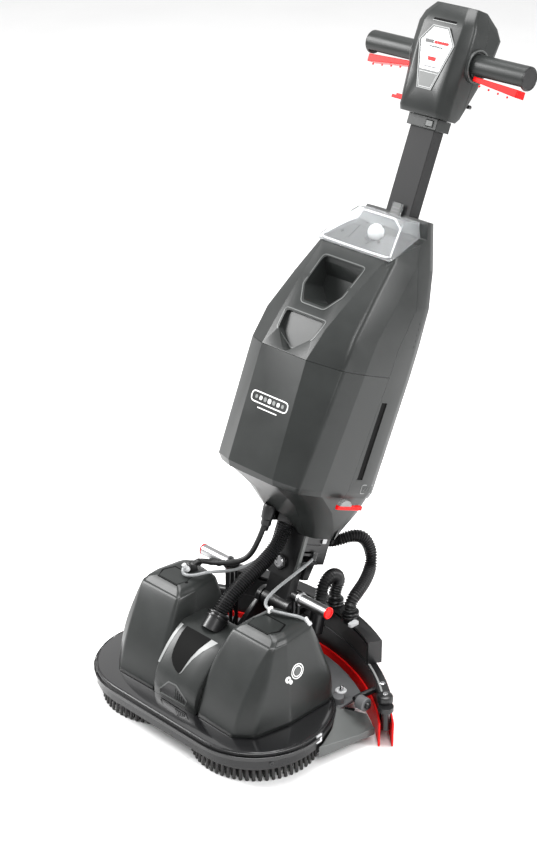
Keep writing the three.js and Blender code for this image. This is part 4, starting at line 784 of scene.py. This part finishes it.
# ------------------------------------------------------------------ column trim
OUT_FRONT = (column_point(0, -1, 0) - column_point(0, 0, 0)).normalized()
OUT_UP = (column_point(0, 0, 1) - column_point(0, 0, 0)).normalized()
ACROSS = Vector((1, 0, 0))
FRONT_START = -260                 # rays at the column's front start here
SIDE_START = 200                   # and those at its sides here


def column_caster(node, start_y=None, start_x=None):
    """place(u, v), dropped on the piece from in front (u across) or from one side (u fore and aft), v up."""
    if start_x is None:
        return caster(shells[node], lambda u, v: (column_point(u, start_y, v), -OUT_FRONT))
    way = Vector((-1 if start_x > 0 else 1, 0, 0))
    return caster(shells[node], lambda u, v: (column_point(start_x, u, v), way))


tank_front = column_caster("clean_tank", start_y=FRONT_START)
badge = loop([(-37, 314, 7), (37, 314, 7), (37, 330, 7), (-37, 330, 7)])
inlay("tank_badge_edge", band(badge, 1.8, True), tank_front, "clean_tank", WHITE, 0.25, True, 0.3)
for k in range(7):
    u = -27 + 9 * k
    drop = ring_points(u, 322, 3.4 - 0.25 * abs(k - 3), 12, 1.25)
    look = WHITE if k % 2 else EDGE_GREY
    inlay(f"tank_badge_drop_{k}", span(drop), tank_front, "clean_tank", look, 0.25, False, 0.3)
line = band([(-20, 307), (20, 307)], 1.6)
inlay("tank_badge_line", line, tank_front, "clean_tank", WHITE, 0.25, False, 0.3)

upper_front = column_caster("recovery_tank", start_y=FRONT_START)
RECESS = loop([(-43, 550, 7), (43, 550, 7), (41, 500, 9), (24, 474, 10), (-24, 474, 10), (-41, 500, 9)])
inlay("recess_rim", band(RECESS, 1.6, True), upper_front, "recovery_tank", GREY_LIGHT, 0.5, True)
SHIELD = loop([(-42, 461, 5), (42, 461, 5), (37, 430, 10), (0, 403, 16), (-37, 430, 10)])
shield_rim = band([q for q in SHIELD if q[1] > 404], 1.6, True)
inlay("shield_rim", shield_rim, upper_front, "recovery_tank", GREY_LIGHT, 0.5, True)
for side, sign in SIDES:
    side_face = column_caster("rear_shell", start_x=sign * SIDE_START)
    plate = loop([(4, 214, 3), (34, 214, 3), (34, 228, 3), (4, 228, 3)])
    inlay("side_plate_" + side, band(plate, 1.3, True), side_face, "column", EDGE_GREY, 0.35, True)
    for k in range(3):
        stroke = band([(10 + 7 * k, 218), (13 + 7 * k, 224)], 1.2)
        inlay(f"side_plate_mark_{side}_{k}", stroke, side_face, "column", GREY_LIGHT, 0.3)
    for k in range(5):
        vent = band([(22, 452 + 9 * k), (40, 456 + 9 * k)], 3.2)
        inlay(f"rear_vent_{side}_{k}", vent, side_face, "column", LINE_BLACK, 0.15)

# The latch's thumb wheel: a half round with a knurled edge.
thumb = []
for k in range(19):
    a = math.pi * k / 18
    r = 9.5 if k % 2 else 8.4
    thumb.append((-34 + r * 1.5 * math.cos(a), 195.5 + r * math.sin(a)))
slab_piece("latch_thumb", thumb, 95, 102, lambda u, v, w: column_point(w, u, v), EDGE_GREY, "latch")

# ------------------------------------------------------------------ lid and stem trim
lid_front = column_caster("lid", start_y=FRONT_START)
LID_EDGE_LINE = [(-70, 575), (-52, 618), (-30, 629), (30, 629), (52, 618), (70, 575)]
lid_rim = band(LID_EDGE_LINE + [(60, 573), (0, 572.5), (-60, 573)], 2.4, True)
inlay("lid_rim", lid_rim, lid_front, "lid", PALE_RIM, 0.3, True)
for k, (u, v) in enumerate(((-40, 590), (-8, 612), (34, 590), (22, 614))):
    inlay(f"lid_mark_{k}", band([(u - 3, v), (u + 3, v)], 1.0), lid_front, "lid", GREY_LIGHT, 0.2)
    if k != 1:
        upright = band([(u, v - 2.6), (u, v + 2.6)], 1.0)
        inlay(f"lid_mark_up_{k}", upright, lid_front, "lid", GREY_LIGHT, 0.25)
for k, (u, v, w, h) in enumerate(((-22, 583, -18, 606), (14, 582, 24, 592))):
    inlay(f"lid_line_{k}", band([(u, v), (w, h)], 0.9), lid_front, "lid", GREY_LIGHT, 0.2)
slab_piece("lid_tab", loop([(-10, 628, 2), (10, 628, 2), (7.5, 652, 3), (-7.5, 652, 3)]), 9.5, 14.6,
           lambda u, v, w: column_point(u, w, v), GREY_LIGHT, "lid")
GROOVE = loop([(-6, -0.8, 0.4), (6, -0.8, 0.4), (6, 0.8, 0.4), (-6, 0.8, 0.4)])
for k in range(3):
    slab_piece(f"lid_tab_grip_{k}", GROOVE, 8.6, 10,
               lambda u, v, w, z=634 + 5 * k: column_point(u, w, z + v), PALE, "lid")

# ------------------------------------------------------------------ control head
HEAD_BASE = 789
head_face = column_caster("head_front", start_y=-60)
label_face = flat(column_point(0, -8.2, 0), ACROSS, OUT_UP, OUT_FRONT)
HEX = [(-13, 38), (13, 38), (33, 108), (15, 132), (-15, 132), (-33, 108)]
FILM_OUT = [(-18.5, 66), (18.5, 66), (30.0, 107.5), (13.5, 129.3), (-13.5, 129.3), (-30.0, 107.5)]
GREY_OUT = [(-11.6, 40.4), (11.6, 40.4), (17.6, 62.5), (-17.6, 62.5)]


def on_head(points):
    """Points given from the head's lower edge, in the column's own heights."""
    return [(u, HEAD_BASE + v) for u, v in points]


inlay("label_border", band(on_head(HEX), 1.8, True), label_face, "stem", EDGE_GREY, 0.8, True)
inlay("label_film_face", span(on_head(FILM_OUT), 14), label_face, "stem", FILM, 0.35)
inlay("label_lower", span(on_head(GREY_OUT)), label_face, "stem", GREY_LIGHT, 0.3)
inlay("label_lower_edge", band(on_head(GREY_OUT), 0.7, True), label_face, "stem", PALE_RIM, 0.45, True)
for k in range(7):
    radius = 6 + 3.1 * k
    arc = []
    for j in range(25):
        a = math.radians(-60 + 10 * j + 14 * k)
        q = (3 + radius * math.cos(a), 96 + 1.15 * radius * math.sin(a))
        limit = 28.5 - 0.48 * max(0, 107 - q[1]) * 0.9 if q[1] < 107 else 28.5 - (q[1] - 107) * 0.76
        if abs(q[0]) < limit and 68 < q[1] < 127:
            arc.append(q)
        elif len(arc) > 2:
            break
        else:
            arc = []
    if len(arc) > 2:
        inlay(f"label_swirl_{k}", band(on_head(arc), 0.8), label_face, "stem", PALE, 0.5)
inlay("label_mark_dark", band(on_head([(-22, 108), (-6, 108)]), 5.2), label_face, "stem", BLACK, 0.6)
inlay("label_mark_red", band(on_head([(-4, 108), (23, 108)]), 4.2), label_face, "stem", RED, 0.6)
inlay("label_mark_line", band(on_head([(-12, 101), (13, 101)]), 1.6), label_face, "stem", GREY, 0.6)
inlay("label_mark_block", band(on_head([(-8, 83), (7, 83)]), 6.0), label_face, "stem", RED, 0.6)
inlay("label_mark_base", band(on_head([(-13, 71), (13, 71)]), 1.8), label_face, "stem", PALE, 0.6)
slot = band(on_head([(-21, 142), (23, 142)]), 3.4)
inlay("head_slot", slot, head_face, "stem", LINE_BLACK, 0.2)
slot_lip = band(on_head([(-22, 139.7), (24, 139.7)]), 1.0)
inlay("head_slot_lip", slot_lip, head_face, "stem", EDGE_GREY, 0.25)
GRIP_Y, GRIP_Z = 31.3, 878.8
GRIP_BOSS = [(0, 18.9), (0, 27), (5, 26.6), (7.6, 25.6), (8.6, 23.6), (8.0, 21.6), (6.2, 20.6), (6.2, 18.9)]
for side, sign in SIDES:
    axis = (sign, 0, 0)
    turned_piece("grip_boss_" + side, column_point(sign * 49, GRIP_Y, GRIP_Z), axis, GRIP_BOSS, 48,
                 GREY, "stem")
    turned_piece("grip_boss_line_" + side, column_point(sign * 56.6, GRIP_Y, GRIP_Z), axis,
                 [(0, 23.2), (0, 25.2), (1.0, 25.0), (1.2, 24.2), (1.0, 23.2)], 48, GREY_LIGHT, "stem")
    turned_piece("grip_cap_" + side, column_point(sign * 152.6, GRIP_Y, GRIP_Z), axis,
                 [(0, 17.9), (1.0, 18.0), (1.9, 17.2), (2.1, 16.0), (1.4, 15.4), (1.4, 0)], 40,
                 BLACK, "stem")
    for k in range(4):
        u0 = 78 + 18 * k
        spot = column_point(sign * u0, GRIP_Y - 10.9, 852.5 - 0.105 * (u0 - 62))
        rows = [(0, 1.8), (0.5, 1.8), (0.8, 1.2), (0.8, 0)]
        turned_piece(f"trigger_rib_{side}_{k}", spot, OUT_FRONT, rows, 14, RED, "trigger_" + side)
for k, (u, v) in enumerate(((-40, 30), (40, 30), (-44, 120), (44, 120))):
    behind = column_point(0, 1, 0) - column_point(0, 0, 0)
    rows = [(-6, 3.2), (0.4, 3.2), (1.0, 2.6), (1.0, 1.3), (0.3, 1.0), (0.3, 0)]
    turned_piece(f"head_screw_{k}", column_point(u, 60 + 0.1 * v, HEAD_BASE + v), behind, rows, 18,
                 BLACK, "stem")

# ------------------------------------------------------------------ floor and light
FLOOR_HALF = 24
floor_mesh = bpy.data.meshes.new("floor")
edit = bmesh.new()
bmesh.ops.create_grid(edit, x_segments=4, y_segments=4, size=FLOOR_HALF)
edit.to_mesh(floor_mesh)
edit.free()
floor = bpy.data.objects.new("floor", floor_mesh)
bpy.context.scene.collection.objects.link(floor)
floor.location = (0, 0, -0.0005)
pale_floor = plastic("pale_floor", (0.86, 0.86, 0.86), 0.6, 0.015, grain=60, bump=0.01, patch=3)
floor_mesh.materials.append(pale_floor)


def area_light(name, place, target, size, power):
    """A soft box at place, turned towards target."""
    data = bpy.data.lights.new(name, "AREA")
    data.shape = "RECTANGLE"
    data.size, data.size_y = size
    data.energy = power
    light = bpy.data.objects.new(name, data)
    bpy.context.scene.collection.objects.link(light)
    light.location = place
    aim = Vector(target) - Vector(place)
    light.rotation_euler = aim.to_track_quat("-Z", "Y").to_euler()


area_light("key_left", (-2.6, -1.6, 2.2), (0, -0.1, 0.4), (1.1, 2.0), 165)
area_light("top_soft", (-0.2, 0.4, 3.2), (0, 0, 0.3), (1.8, 1.8), 110)
area_light("strip_right", (1.9, -1.2, 2.6), (0, 0, 0.4), (0.35, 1.6), 40)
area_light("rim_right", (2.6, 1.2, 1.6), (0, 0, 0.5), (0.5, 1.6), 55)
world = bpy.data.worlds.new("studio")
world.use_nodes = True
world.node_tree.nodes["Background"].inputs["Color"].default_value = (1, 1, 1, 1)
world.node_tree.nodes["Background"].inputs["Strength"].default_value = 0.8
bpy.context.scene.world = world
bpy.context.scene.view_settings.view_transform = "Standard"
